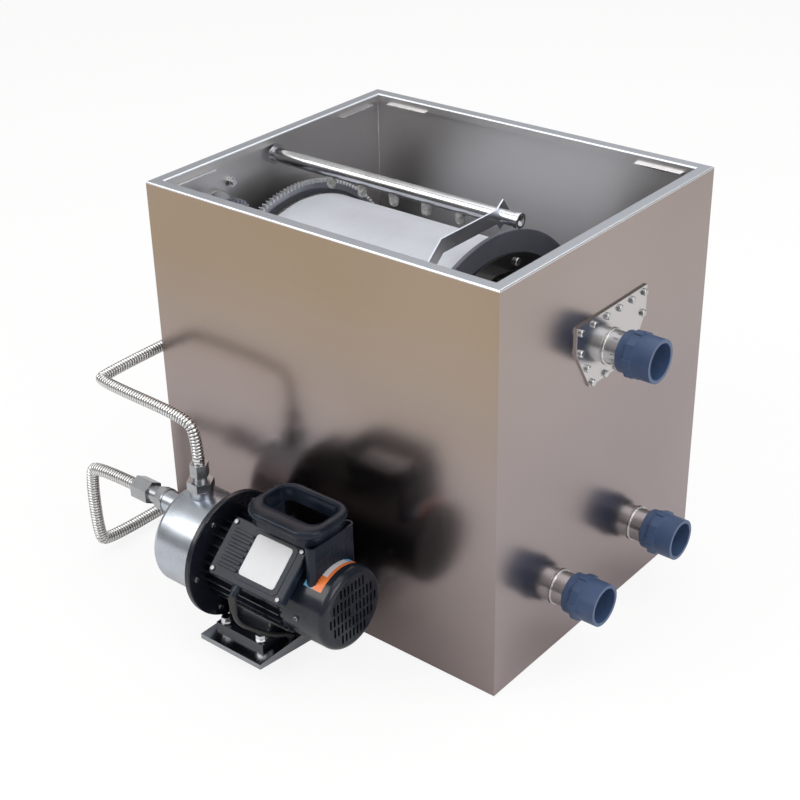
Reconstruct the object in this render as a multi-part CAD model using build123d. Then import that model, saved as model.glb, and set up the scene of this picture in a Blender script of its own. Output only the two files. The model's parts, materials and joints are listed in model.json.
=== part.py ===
from build123d import *
import os
from math import acos, asin, cos, hypot, pi, radians, sin, tan

os.makedirs("parts", exist_ok=True)

# Tank: folded stainless sheet, origin at the centre of its underside
TANK_X = 600.0
TANK_Y = 500.0
TANK_Z = 600.0
SHEET = 2.0
FOLD_R = 2.5
RIM_WIDTH = 18.0
RIM_LIP = 12.0
LID_REST_LENGTH = 75.0
LID_REST_WIDTH = 22.0
LID_REST_START = 14.0

# Drum line: axis along X, placed from the tank's top and its left wall
DRUM_BELOW_TOP = 301.0
SCREEN_R = 207.0
SCREEN_WALL = 1.2
SCREEN_START = 54.0
SCREEN_LENGTH = 350.0
END_RING_R = 234.0
END_RING_BORE_R = 176.0
END_RING_THICK = 6.0
CLAMP_RING_R = 202.0
CLAMP_RING_THICK = 4.0
CLAMP_BOLTS = 12
END_DISC_THICK = 4.0
HOOP_DEPTH = 7.0
HOOP_WIDTH = 8.0
HOOPS = 3
FRAME_BARS = 8
FRAME_BAR_WIDTH = 10.0
FRAME_BAR_DEPTH = 8.0
FRAME_BAR_INSET = 3.0
STUB_SHAFT_R = 15.0
STUB_FLANGE_R = 38.0
STUB_FLANGE_THICK = 6.0
BEARING_R = 34.0
BEARING_FLANGE_R = 46.0
BEARING_FLANGE_THICK = 6.0
BEARING_LENGTH = 24.0

# Drum drive: spur ring gear and pinion
MODULE = 2.5
RING_TEETH = 180
PINION_TEETH = 22
PRESSURE_ANGLE = 20.0
BACKLASH = 0.5
GEAR_FACE = 9.0
PINION_FACE = 12.0
PINION_TILT = 31.0
RING_GEAR_BORE_R = 196.0
PINION_SHAFT_R = 6.0
PINION_HUB_R = 14.0
PINION_HUB_LENGTH = 8.0
PINION_BEARING_R = 34.0
PINION_BEARING_LENGTH = 8.0
GEARBOX_DEPTH = 46.0
GEARBOX_WIDTH = 74.0
GEARBOX_HEIGHT = 78.0
GEARBOX_FLANGE = 5.0
GEARBOX_BOLT_Y = 39.0
GEARBOX_BOLT_Z = 35.0
DRUM_MOTOR_R = 26.0
DRUM_MOTOR_LENGTH = 92.0

# Support rollers under the open end of the drum
ROLLER_R = 20.0
ROLLER_WIDTH = 12.0
ROLLER_ANGLE = 40.0
AXLE_R = 5.0
UPRIGHT_THICK = 4.0
UPRIGHT_WIDTH = 34.0
BRACKET_FOOT = 26.0

# Partition between the inlet chamber and the filter chamber
PARTITION_RISE = 85.0
NOTCH_INSET = 20.0
SEAL_INSET = 4.0
SEAL_THICK = 2.7

# Fits shared by the whole model
RUNNING = 0.05
GAP = 0.3

# Pipe fittings: threaded stub, and an adaptor socket for 50 mm pipe
STUB_R = 24.15
STUB_WALL = 2.6
STUB_INSIDE = 10.0
STUB_OUTSIDE = 40.0
WELD_RING_R = 25.8
WELD_RING_THICK = 1.5
ADAPTOR_START = 21.0
ADAPTOR_MOUTH = 74.0
ADAPTOR_COLLAR_R = 29.2
ADAPTOR_SOCKET_R = 30.4
SOCKET_BORE_R = 25.1
SOCKET_DEPTH = 31.0
NUT_RING_START = 35.0
NUT_RING_WIDTH = 12.0
NUT_RING_FLATS = 62.0
LUG_HALF = 6.0
LUG_RISE = 2.0
PIPE_Y = 100.0
PIPE_Z = 96.0
OUTLET_Y = 70.0
OUTLET_SPACING = 110.0

# Sludge trough and its bolted shield plate
SHIELD_THICK = 3.0
SHIELD_RISE = 59.0
SHIELD_KNEE_RISE = 20.0
SHIELD_DROP = 40.0
SHIELD_HALF_TOP = 84.0
SHIELD_HALF_BOTTOM = 49.0
WASTE_RISE = 128.0
TROUGH_RISE = 28.0
TROUGH_KNEE_RISE = 13.0
TROUGH_DROP = 27.0
TROUGH_TOP_INSET = 18.0
TROUGH_BOTTOM_INSET = 15.0
TROUGH_SHEET = 1.5
TROUGH_START = 31.0
PLATE_BOLT_R = 3.0
PLATE_HEAD_R = 4.9
PLATE_HEAD_HEIGHT = 4.2
PLATE_ROW_BOLTS = 6
PLATE_ROW_INSET = 7.75
PLATE_BOLT_MARGIN = 9.0

# Spray bar over the drum
SPRAY_BELOW_TOP = 32.0
SPRAY_R = 10.0
SPRAY_WALL = 1.5
SPRAY_PAST_BRACKET = 26.5
SPRAY_OUTSIDE = 20.0
END_CAP_R = 11.2
END_CAP_LENGTH = 7.0
RAIL_THICK = 3.0
RAIL_WIDTH = 6.0
NOZZLES = 5
NOZZLE_START = 65.0
NOZZLE_PITCH = 58.7
NOZZLE_FLATS = 16.0
NOZZLE_LENGTH = 18.0
SPRAY_NUT_FLATS = 30.0
SPRAY_NUT_THICK = 9.0
BRACKET_OFFSET = 6.0
BRACKET_THICK = 2.5
BRACKET_HEIGHT = 21.0
BRACKET_BEND_Y = -129.0
BRACKET_SLOPE = 40.0
BRACKET_TAB = 20.0
ELBOW_OUT = 34.0
ELBOW_R = 12.5
ELBOW_DROP = 33.0
ELBOW_NUT = 16.0
ELBOW_NUT_FLATS = 26.0

# Pump: axis along X, on a shelf on the front wall
PUMP_Y = -347.0
PUMP_Z = 127.0
SHELF_TOP = 31.0
SHELF_THICK = 3.0
SHELF_X0 = -80.0
SHELF_X1 = 34.0
SHELF_FRONT = -424.0
SHELF_LIP = 8.0
SHELF_ROOT = 28.0
FLANGE_R = 93.0
FLANGE_X = -76.0
FLANGE_THICK = 8.0
BARREL_R = 74.0
BARREL_WALL = 2.0
BARREL_X0 = -170.0
BOSS_R = 17.0
BOSS_BORE_R = 10.0
SUCTION_Z = 163.0
SUCTION_BOSS_X = -208.0
DISCHARGE_X = -137.0
DISCHARGE_BOSS_Z = 210.0
PLUG_OFFSET_X = 14.0
PLUG_OFFSET_Y = 22.0
PLUG_FLATS = 13.0
PLUG_BOSS_R = 9.0
UNION_WASHER = 3.0
UNION_NUT = 13.0
DISCHARGE_NUT_FLATS = 35.0
DISCHARGE_NECK_R = 10.0
DISCHARGE_NECK = 7.0
DISCHARGE_TAIL_FLATS = 24.0
DISCHARGE_TAIL = 20.0
SUCTION_NUT_FLATS = 32.0
SUCTION_NECK_R = 13.0
SUCTION_NECK = 17.0
SUCTION_TAIL = 32.0
BULKHEAD_R = 10.0
BULKHEAD_FLATS = 26.0
BULKHEAD_NUT = 18.0
BULKHEAD_INNER_NUT = 7.0
HOSE_R = 8.0
CORE_R = 56.0
FIN_R = 64.0
FIN_THICK = 2.5
FINS = 30
HOUSING_X1 = 62.0
ROTOR_R = 30.0
MOTOR_SHAFT_R = 7.0
FAN_COVER_R = 60.0
FAN_COVER_WALL = 2.5
FAN_COVER_X1 = 139.0
SLOT_HEIGHT = 14.0
SLOT_WIDTH = 3.6
SLOT_PITCH_Y = 7.4
SLOT_PITCH_Z = 18.0
FAN_R = 48.0
FAN_BLADES = 6
IMPELLER_R = 46.0
IMPELLER_VANES = 5
BOX_TILT = 42.6
BOX_X0 = -47.0
BOX_X1 = 86.0
BOX_HALF = 42.0
BOX_BASE_R = 66.0
BOX_FACE_R = 75.0
COVER_FACE_R = 79.0
COVER_SCREW_X = 59.5
COVER_SCREW_V = 35.0
HANDLE_X0 = -14.0
HANDLE_X1 = 110.0
HANDLE_TOP = 251.0
HANDLE_RING = 24.0
HANDLE_HALF = 44.0
HANDLE_HOLE_HALF = 26.0
FOOT_BOLT_X = (-62.0, 5.0)
FOOT_BOLT_Y = 43.0
FOOT_HEIGHT = 9.0

# Mains lead of the pump
LEAD_R = 3.5
LEAD_HOLE = (26.0, -352.0)
LEAD_HOLE_R = 6.0
GLAND_X = 4.0
COIL_R = 36.0
COIL_HALF_WIDTH = 10.5
COIL_HEIGHT = 14.4
COIL_AT = (-28.0, -338.0)
PLUG_AT_X = 26.0
PLUG_LENGTH = 40.0
PLUG_WIDTH = 26.0
PLUG_HEIGHT = 22.0
PLUG_ROUND = 6.0

# Places that follow from these sizes
WALL_X = TANK_X / 2
WALL_Y = TANK_Y / 2
IN_X = WALL_X - SHEET
IN_Y = WALL_Y - SHEET
DRUM_Z = TANK_Z - DRUM_BELOW_TOP
SCREEN_X0 = SCREEN_START - WALL_X
SCREEN_X1 = SCREEN_X0 + SCREEN_LENGTH
RING_X1 = SCREEN_X1 + END_RING_THICK
PARTITION_X = RING_X1 + GAP + SEAL_THICK
PARTITION_TOP = DRUM_Z + PARTITION_RISE
SEAL_R = END_RING_R - SEAL_INSET
NOTCH_R = END_RING_R - NOTCH_INSET
WASTE_Z = DRUM_Z + WASTE_RISE
SHIELD_TOP = WASTE_Z + SHIELD_RISE
SHIELD_KNEE = WASTE_Z + SHIELD_KNEE_RISE
SHIELD_BOTTOM = WASTE_Z - SHIELD_DROP
TROUGH_TOP = WASTE_Z + TROUGH_RISE
TROUGH_KNEE = WASTE_Z + TROUGH_KNEE_RISE
TROUGH_BOTTOM = WASTE_Z - TROUGH_DROP
TROUGH_HALF_TOP = SHIELD_HALF_TOP - TROUGH_TOP_INSET
TROUGH_HALF_BOTTOM = SHIELD_HALF_BOTTOM - TROUGH_BOTTOM_INSET
TROUGH_X0 = SCREEN_X0 + TROUGH_START
SPRAY_Z = TANK_Z - SPRAY_BELOW_TOP
SPRAY_X0 = -WALL_X - SPRAY_OUTSIDE
BRACKET_X = PARTITION_X + BRACKET_OFFSET
BRACKET_X1 = BRACKET_X + BRACKET_THICK
SPRAY_X1 = BRACKET_X1 + SPRAY_PAST_BRACKET
ELBOW_X = -WALL_X - ELBOW_OUT


def block(x0, x1, y0, y1, z0, z1):
    """Box between two corners."""
    middle = Pos((x0 + x1) / 2, (y0 + y1) / 2, (z0 + z1) / 2)
    return middle * Box(x1 - x0, y1 - y0, z1 - z0)


def rod_x(radius, x0, x1, y, z):
    """Round bar along X."""
    return Pos((x0 + x1) / 2, y, z) * Rot(0, 90, 0) * Cylinder(radius, x1 - x0)


def rod_y(radius, y0, y1, x, z):
    """Round bar along Y."""
    return Pos(x, (y0 + y1) / 2, z) * Rot(90, 0, 0) * Cylinder(radius, y1 - y0)


def rod_z(radius, z0, z1, x, y):
    """Round bar along Z."""
    return Pos(x, y, (z0 + z1) / 2) * Cylinder(radius, z1 - z0)


def ring_x(outer, inner, x0, x1, y, z):
    """Flat ring or tube along X."""
    return rod_x(outer, x0, x1, y, z) - rod_x(inner, x0 - 1, x1 + 1, y, z)


def hex_x(flats, x0, x1, y, z, sides=6):
    """Regular prism along X, measured across its flats."""
    outline = RegularPolygon(flats / 2, sides, major_radius=False)
    return Pos(x0, y, z) * Rot(0, 90, 0) * extrude(outline, x1 - x0)


def hex_z(flats, z0, z1, x, y):
    """Hexagonal prism along Z, measured across its flats."""
    return Pos(x, y, z0) * extrude(RegularPolygon(flats / 2, 6, major_radius=False), z1 - z0)


def turned_x(outline, y, z):
    """Body turned about a line along X, from (x, radius) points."""
    return Pos(0, y, z) * revolve(make_face(Polyline(*outline, close=True)), Axis.X)


def plate_x(outline, x0, x1):
    """Flat plate across X, from (y, z) points."""
    return Pos(x0, 0, 0) * extrude(Plane.YZ * make_face(Polyline(*outline, close=True)), x1 - x0)


def around_drum(radius, angle):
    """Point (y, z) at a radius from the drum axis, the angle counted from +Y towards +Z."""
    return radius * cos(radians(angle)), DRUM_Z + radius * sin(radians(angle))


def save(node, *shapes):
    """Write one node from its solids."""
    solids = [solid for shape in shapes for solid in shape.solids()]
    export_step(solids[0] if len(solids) == 1 else Compound(solids), f"parts/{node}.step")


def inv(angle):
    """Involute function."""
    return tan(angle) - angle


def spur_face(teeth, steps):
    """Outline of a spur gear with involute flanks, one tooth centred on the local X axis."""
    pitch_r = MODULE * teeth / 2
    base_r = pitch_r * cos(radians(PRESSURE_ANGLE))
    root_r = pitch_r - 1.25 * MODULE
    tip_r = pitch_r + MODULE
    half_at_pitch = pi / (2 * teeth) - BACKLASH / (4 * pitch_r)
    start_r = max(root_r, base_r)

    def half_angle(radius):
        roll = acos(min(1.0, base_r / max(radius, base_r)))
        return half_at_pitch + inv(radians(PRESSURE_ANGLE)) - inv(roll)

    radii = [start_r + (tip_r - start_r) * step / steps for step in range(steps + 1)]
    if root_r < start_r:
        radii.insert(0, root_r)
    points = []
    for tooth in range(teeth):
        middle = 2 * pi * tooth / teeth
        flank = [(radius, -half_angle(radius)) for radius in radii]
        flank += [(radius, half_angle(radius)) for radius in reversed(radii)]
        points += [(r * cos(middle + a), r * sin(middle + a)) for r, a in flank]
    return make_face(Polyline(*points, close=True))


# Tank: floor, four folded walls mitred at the corners, lid rests
def tank_wall(length):
    """Folded wall along X with its outside on y = 0 and its rim turned inwards, mitred ends."""
    profile = make_face(Polyline(
        (0, 0), (SHEET, 0), (SHEET, TANK_Z - SHEET), (RIM_WIDTH - SHEET, TANK_Z - SHEET),
        (RIM_WIDTH - SHEET, TANK_Z - RIM_LIP), (RIM_WIDTH, TANK_Z - RIM_LIP),
        (RIM_WIDTH, TANK_Z), (0, TANK_Z), close=True))
    folds = profile.vertices().group_by(Axis.Y)[-1]
    strip = extrude(Plane.YZ * fillet(folds, FOLD_R), length / 2, both=True)
    half = length / 2
    plan = Polyline(
        (-half, 0), (half, 0), (half - RIM_WIDTH, RIM_WIDTH), (RIM_WIDTH - half, RIM_WIDTH),
        close=True)
    return strip & extrude(make_face(plan), TANK_Z)


floor = block(-IN_X, IN_X, -IN_Y, IN_Y, 0, SHEET)
front_wall = Pos(0, -WALL_Y, 0) * tank_wall(TANK_X)
back_wall = Pos(0, WALL_Y, 0) * Rot(0, 0, 180) * tank_wall(TANK_X)
left_wall = Pos(-WALL_X, 0, 0) * Rot(0, 0, -90) * tank_wall(TANK_Y)
right_wall = Pos(WALL_X, 0, 0) * Rot(0, 0, 90) * tank_wall(TANK_Y)

rest_z = TANK_Z - RIM_LIP
rest_start = LID_REST_WIDTH + LID_REST_START
lid_rests = []
for reach_x, reach_y, off_x, off_y in (
        (LID_REST_LENGTH, LID_REST_WIDTH, rest_start, 0),
        (LID_REST_WIDTH, LID_REST_LENGTH, 0, rest_start)):
    x1 = IN_X - off_x
    y1 = IN_Y - off_y
    tab = block(x1 - reach_x, x1, y1 - reach_y, y1, rest_z - SHEET, rest_z)
    lid_rests += [tab, tab.mirror(Plane.YZ), tab.mirror(Plane.XZ)]
    lid_rests.append(tab.mirror(Plane.YZ).mirror(Plane.XZ))


# Pipe fittings
def stub(side, y, z, face):
    """Threaded stub through a wall, with its weld ring on the face it leaves."""
    pipe = ring_x(STUB_R, STUB_R - STUB_WALL, -STUB_INSIDE, STUB_OUTSIDE, 0, 0)
    weld = ring_x(WELD_RING_R, STUB_R, 0, WELD_RING_THICK, 0, 0)
    return Pos(side * face, y, z) * Rot(0, 0, 0 if side > 0 else 180) * (pipe + weld)


def adaptor(side, y, z, face):
    """Adaptor screwed on a stub: collar, octagonal nut ring with lugs, pipe socket."""
    socket_end = ADAPTOR_MOUTH - SOCKET_DEPTH
    outline = [
        (ADAPTOR_START, STUB_R), (ADAPTOR_START, ADAPTOR_COLLAR_R - 2),
        (ADAPTOR_START + 2, ADAPTOR_COLLAR_R), (NUT_RING_START, ADAPTOR_COLLAR_R),
        (NUT_RING_START, ADAPTOR_SOCKET_R), (ADAPTOR_MOUTH, ADAPTOR_SOCKET_R),
        (ADAPTOR_MOUTH, SOCKET_BORE_R), (socket_end, SOCKET_BORE_R),
        (socket_end, STUB_R - STUB_WALL), (STUB_OUTSIDE, STUB_R - STUB_WALL),
        (STUB_OUTSIDE, STUB_R)]
    body = turned_x(outline, 0, 0)
    nut = hex_x(NUT_RING_FLATS, NUT_RING_START, NUT_RING_START + NUT_RING_WIDTH, 0, 0, sides=8)
    body += nut - rod_x(ADAPTOR_SOCKET_R, NUT_RING_START - 1, ADAPTOR_MOUTH, 0, 0)
    lug_top = NUT_RING_FLATS / 2 + LUG_RISE
    lug = block(
        NUT_RING_START, NUT_RING_START + NUT_RING_WIDTH, -LUG_HALF, LUG_HALF, 0, lug_top)
    for turn in range(0, 360, 90):
        body += Rot(turn, 0, 0) * (lug - rod_x(ADAPTOR_SOCKET_R - 1, 0, ADAPTOR_MOUTH, 0, 0))
    return Pos(side * face, y, z) * Rot(0, 0, 0 if side > 0 else 180) * body


inlet_ys = (-PIPE_Y, PIPE_Y)
outlet_ys = (OUTLET_Y, OUTLET_Y + OUTLET_SPACING)
for y in inlet_ys:
    right_wall -= rod_x(STUB_R, IN_X - 1, WALL_X + 1, y, PIPE_Z)
for y in outlet_ys:
    left_wall -= rod_x(STUB_R, -WALL_X - 1, -IN_X + 1, y, PIPE_Z)
inlet_stubs = [stub(1, y, PIPE_Z, WALL_X) for y in inlet_ys]
inlet_adaptors = [adaptor(1, y, PIPE_Z, WALL_X) for y in inlet_ys]
outlet_stubs = [stub(-1, y, PIPE_Z, WALL_X) for y in outlet_ys]
outlet_adaptors = [adaptor(-1, y, PIPE_Z, WALL_X) for y in outlet_ys]

# Shield plate, its bolts and the trough that it carries inside the drum
shield_outline = [
    (-SHIELD_HALF_TOP, SHIELD_TOP), (-SHIELD_HALF_TOP, SHIELD_KNEE),
    (-SHIELD_HALF_BOTTOM, SHIELD_BOTTOM), (SHIELD_HALF_BOTTOM, SHIELD_BOTTOM),
    (SHIELD_HALF_TOP, SHIELD_KNEE), (SHIELD_HALF_TOP, SHIELD_TOP)]
SHIELD_X = WALL_X + SHIELD_THICK
shield_plate = plate_x(shield_outline, WALL_X, SHIELD_X)
shield_plate -= rod_x(STUB_R, WALL_X - 1, SHIELD_X + 1, 0, WASTE_Z)

row_half = SHIELD_HALF_TOP - PLATE_ROW_INSET
row_pitch = 2 * row_half / (PLATE_ROW_BOLTS - 1)
bolt_points = [
    (index * row_pitch - row_half, SHIELD_TOP - PLATE_BOLT_MARGIN)
    for index in range(PLATE_ROW_BOLTS)]
for side in (-1, 1):
    middle_y = (SHIELD_HALF_TOP + SHIELD_HALF_BOTTOM) / 2
    middle_z = (SHIELD_KNEE + SHIELD_BOTTOM) / 2
    bolt_points.append((side * (SHIELD_HALF_TOP - PLATE_BOLT_MARGIN), SHIELD_KNEE))
    bolt_points.append((side * (middle_y - PLATE_BOLT_MARGIN), middle_z + 1))
    bolt_points.append((side * (SHIELD_HALF_BOTTOM - 5), SHIELD_BOTTOM + 5))
    bolt_points.append((side * 13, SHIELD_BOTTOM + 5))


def trough_outline(inset):
    """Half-hexagon channel section; a positive inset gives the inside, open at the top."""
    top = TROUGH_TOP + (inset > 0) * 10
    return [
        (inset - TROUGH_HALF_TOP, top), (inset - TROUGH_HALF_TOP, TROUGH_KNEE + inset * 0.3),
        (inset * 0.6 - TROUGH_HALF_BOTTOM, TROUGH_BOTTOM + inset),
        (TROUGH_HALF_BOTTOM - inset * 0.6, TROUGH_BOTTOM + inset),
        (TROUGH_HALF_TOP - inset, TROUGH_KNEE + inset * 0.3), (TROUGH_HALF_TOP - inset, top)]


sludge_trough = plate_x(trough_outline(0), TROUGH_X0, WALL_X)
sludge_trough -= plate_x(trough_outline(TROUGH_SHEET), TROUGH_X0 + TROUGH_SHEET, WALL_X + 1)
right_wall -= plate_x(trough_outline(-0.5), IN_X - 1, WALL_X + 1)
waste_stub = stub(1, 0, WASTE_Z, SHIELD_X)
waste_adaptor = adaptor(1, 0, WASTE_Z, SHIELD_X)

shield_bolts = []
for y, z in bolt_points:
    shield_plate -= rod_x(PLATE_BOLT_R + GAP, WALL_X - 1, SHIELD_X + 1, y, z)
    right_wall -= rod_x(PLATE_BOLT_R + GAP, IN_X - 1, WALL_X + 1, y, z)
    shank = rod_x(PLATE_BOLT_R, IN_X - 7, SHIELD_X + 1, y, z)
    head = rod_x(PLATE_HEAD_R, SHIELD_X, SHIELD_X + PLATE_HEAD_HEIGHT, y, z)
    head = fillet(head.edges().sort_by(Axis.X)[-1], 1.8)
    nut = hex_x(10, IN_X - 5, IN_X, y, z)
    shield_bolts.append(head + shank + nut)

# Drum: screen on hoops and bars, closed end disc, open end ring with its clamp ring
DISC_X0 = SCREEN_X0 - END_DISC_THICK
GEAR_X0 = DISC_X0 - GEAR_FACE
inner_r = SCREEN_R - SCREEN_WALL
drum_screen = ring_x(SCREEN_R, inner_r, SCREEN_X0, SCREEN_X1, 0, DRUM_Z)
hoop_span = SCREEN_LENGTH - HOOP_WIDTH
drum_frame = None
for index in range(HOOPS):
    x0 = SCREEN_X0 + hoop_span * index / (HOOPS - 1)
    hoop = ring_x(inner_r, inner_r - HOOP_DEPTH, x0, x0 + HOOP_WIDTH, 0, DRUM_Z)
    drum_frame = hoop if drum_frame is None else drum_frame + hoop
bar_half = FRAME_BAR_WIDTH / 2
bar_top = inner_r - FRAME_BAR_INSET
bar = block(SCREEN_X0, SCREEN_X1, -bar_half, bar_half, bar_top - FRAME_BAR_DEPTH, bar_top)
for index in range(FRAME_BARS):
    drum_frame += Pos(0, 0, DRUM_Z) * Rot(360 * index / FRAME_BARS, 0, 0) * bar

clamp_bolt_r = (CLAMP_RING_R + END_RING_BORE_R) / 2
drum_end_disc = rod_x(SCREEN_R + 6, DISC_X0, SCREEN_X0, 0, DRUM_Z)
drum_end_ring = ring_x(END_RING_R, END_RING_BORE_R, SCREEN_X1, RING_X1, 0, DRUM_Z)
drum_end_ring = fillet(drum_end_ring.edges().group_by(Axis.X)[-1].sort_by(SortBy.RADIUS)[-1], 1.5)
CLAMP_X1 = RING_X1 + CLAMP_RING_THICK
drum_clamp_ring = ring_x(CLAMP_RING_R, END_RING_BORE_R, RING_X1, CLAMP_X1, 0, DRUM_Z)
drum_end_bolts = []
for index in range(CLAMP_BOLTS):
    y, z = around_drum(clamp_bolt_r, 360 * (index + 0.5) / CLAMP_BOLTS)
    hole = rod_x(PLATE_BOLT_R + GAP, SCREEN_X1 - 1, CLAMP_X1 + 1, y, z)
    drum_end_ring -= hole
    drum_clamp_ring -= hole
    shank = rod_x(PLATE_BOLT_R, SCREEN_X1 - 6, CLAMP_X1 + 1, y, z)
    head = fillet(rod_x(6, CLAMP_X1, CLAMP_X1 + 4.5, y, z).edges().sort_by(Axis.X)[-1], 1.5)
    drum_end_bolts.append(shank + head + hex_x(10, SCREEN_X1 - 5, SCREEN_X1, y, z))

shaft_end = -IN_X + 1
stub_flange = rod_x(STUB_FLANGE_R, DISC_X0 - STUB_FLANGE_THICK, DISC_X0, 0, DRUM_Z)
drum_stub_shaft = stub_flange + rod_x(STUB_SHAFT_R, shaft_end, DISC_X0, 0, DRUM_Z)
bearing_x1 = -IN_X + BEARING_LENGTH
drum_bearing = rod_x(BEARING_FLANGE_R, -IN_X, -IN_X + BEARING_FLANGE_THICK, 0, DRUM_Z)
drum_bearing += rod_x(BEARING_R, -IN_X, bearing_x1, 0, DRUM_Z)
drum_bearing -= rod_x(STUB_SHAFT_R + RUNNING, -IN_X - 1, bearing_x1 + 1, 0, DRUM_Z)

# Ring gear and pinion: a ring tooth stands on the line of centres, in a pinion gap
centre_distance = MODULE * (RING_TEETH + PINION_TEETH) / 2
mesh_angle = 90 + PINION_TILT
PINION_Y, PINION_Z = around_drum(centre_distance, mesh_angle)
ring_blank = extrude(Rot(0, 0, mesh_angle) * spur_face(RING_TEETH, 1), GEAR_FACE)
ring_gear = Pos(GEAR_X0, 0, DRUM_Z) * (Plane.YZ * ring_blank)
ring_gear -= rod_x(RING_GEAR_BORE_R, GEAR_X0 - 1, DISC_X0 + 1, 0, DRUM_Z)
pinion_x0 = GEAR_X0 + (GEAR_FACE - PINION_FACE) / 2
pinion_x1 = pinion_x0 + PINION_FACE
pinion_turn = mesh_angle + 180 + 180 / PINION_TEETH
pinion_blank = extrude(Rot(0, 0, pinion_turn) * spur_face(PINION_TEETH, 3), PINION_FACE)
pinion = Pos(pinion_x0, PINION_Y, PINION_Z) * (Plane.YZ * pinion_blank)
pinion += rod_x(PINION_HUB_R, pinion_x0 - PINION_HUB_LENGTH, pinion_x0, PINION_Y, PINION_Z)
pinion -= rod_x(PINION_SHAFT_R, pinion_x0 - 20, pinion_x1 + 1, PINION_Y, PINION_Z)
gearbox_x0 = -WALL_X - GEARBOX_DEPTH
pinion_shaft = rod_x(PINION_SHAFT_R, gearbox_x0 + 10, pinion_x1 + 2, PINION_Y, PINION_Z)
pinion_bearing = ring_x(
    PINION_BEARING_R, PINION_SHAFT_R + RUNNING, -IN_X, -IN_X + PINION_BEARING_LENGTH,
    PINION_Y, PINION_Z)
pinion_bearing = fillet(
    pinion_bearing.edges().group_by(Axis.X)[-1].sort_by(SortBy.RADIUS)[-1], 2)
left_wall -= rod_x(PINION_SHAFT_R + 2, -WALL_X - 1, -IN_X + 1, PINION_Y, PINION_Z)

half_w = GEARBOX_WIDTH / 2
half_h = GEARBOX_HEIGHT / 2
case = block(
    gearbox_x0, -WALL_X - GEARBOX_FLANGE, PINION_Y - half_w, PINION_Y + half_w,
    PINION_Z - half_h, PINION_Z + half_h)
case = fillet(case.edges().filter_by(Axis.X), 12)
mount_pad = block(
    -WALL_X - GEARBOX_FLANGE, -WALL_X, PINION_Y - GEARBOX_BOLT_Y - 9,
    PINION_Y + GEARBOX_BOLT_Y + 9, PINION_Z - GEARBOX_BOLT_Z - 9, PINION_Z + GEARBOX_BOLT_Z + 9)
mount_pad = fillet(mount_pad.edges().filter_by(Axis.X), 6)
gearbox = case + mount_pad
gearbox -= rod_x(PINION_SHAFT_R + RUNNING, gearbox_x0 + 9, -WALL_X + 1, PINION_Y, PINION_Z)
gearbox_bolts = []
for side_y in (-1, 1):
    for side_z in (-1, 1):
        y = PINION_Y + side_y * GEARBOX_BOLT_Y
        z = PINION_Z + side_z * GEARBOX_BOLT_Z
        hole = rod_x(PLATE_BOLT_R + 1 + GAP, -WALL_X - GEARBOX_FLANGE - 1, -IN_X + 1, y, z)
        gearbox -= hole + rod_x(8, gearbox_x0, -WALL_X - GEARBOX_FLANGE, y, z)
        left_wall -= hole
        head = hex_x(13, -WALL_X - GEARBOX_FLANGE - 5, -WALL_X - GEARBOX_FLANGE, y, z)
        nut = hex_x(13, -IN_X, -IN_X + 6.5, y, z) + rod_x(9, -IN_X, -IN_X + 1.5, y, z)
        shank = rod_x(PLATE_BOLT_R + 1, -WALL_X - GEARBOX_FLANGE - 2, -IN_X + 10, y, z)
        gearbox_bolts.append(head + nut + shank)
motor_z1 = PINION_Z - half_h
motor_x = -WALL_X - GEARBOX_FLANGE - 1 - DRUM_MOTOR_R
drum_motor = rod_z(DRUM_MOTOR_R, motor_z1 - DRUM_MOTOR_LENGTH, motor_z1, motor_x, PINION_Y)
drum_motor = fillet(drum_motor.edges().sort_by(Axis.Z)[0], 5)

# Support rollers
ROLLER_X0 = (SCREEN_X1 + RING_X1 - ROLLER_WIDTH) / 2
ROLLER_X1 = ROLLER_X0 + ROLLER_WIDTH
roller_path = END_RING_R + ROLLER_R + GAP
rollers = []
roller_brackets = []
for angle in (-90 - ROLLER_ANGLE, -90 + ROLLER_ANGLE):
    y, z = around_drum(roller_path, angle)
    tyre = turned_x(
        [(ROLLER_X0, AXLE_R + RUNNING), (ROLLER_X0, ROLLER_R - 1), (ROLLER_X0 + 1, ROLLER_R),
         (ROLLER_X1 - 1, ROLLER_R), (ROLLER_X1, ROLLER_R - 1), (ROLLER_X1, AXLE_R + RUNNING)],
        y, z)
    rollers.append(tyre)
    upright_x1 = ROLLER_X0 - 3
    upright_x0 = upright_x1 - UPRIGHT_THICK
    half_upright = UPRIGHT_WIDTH / 2
    upright = block(upright_x0, upright_x1, y - half_upright, y + half_upright, SHEET, z)
    upright += rod_x(half_upright, upright_x0, upright_x1, y, z)
    foot = block(
        upright_x0 - BRACKET_FOOT, upright_x0, y - half_upright, y + half_upright, SHEET,
        SHEET + UPRIGHT_THICK)
    axle = rod_x(AXLE_R, upright_x0, ROLLER_X1, y, z)
    shoulder = rod_x(AXLE_R + 3, upright_x1, ROLLER_X0 - GAP, y, z)
    roller_brackets.append(upright + foot + axle + shoulder)

# Partition with a round notch and its face seal against the end ring
notch = rod_x(NOTCH_R, PARTITION_X - 5, PARTITION_X + 10, 0, DRUM_Z)
partition = block(PARTITION_X, PARTITION_X + SHEET, -IN_Y, IN_Y, SHEET, PARTITION_TOP) - notch
drum_seal = ring_x(SEAL_R, NOTCH_R, RING_X1 + GAP, PARTITION_X, 0, DRUM_Z)
drum_seal &= block(RING_X1, PARTITION_X, -IN_Y, IN_Y, 0, PARTITION_TOP)

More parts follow.
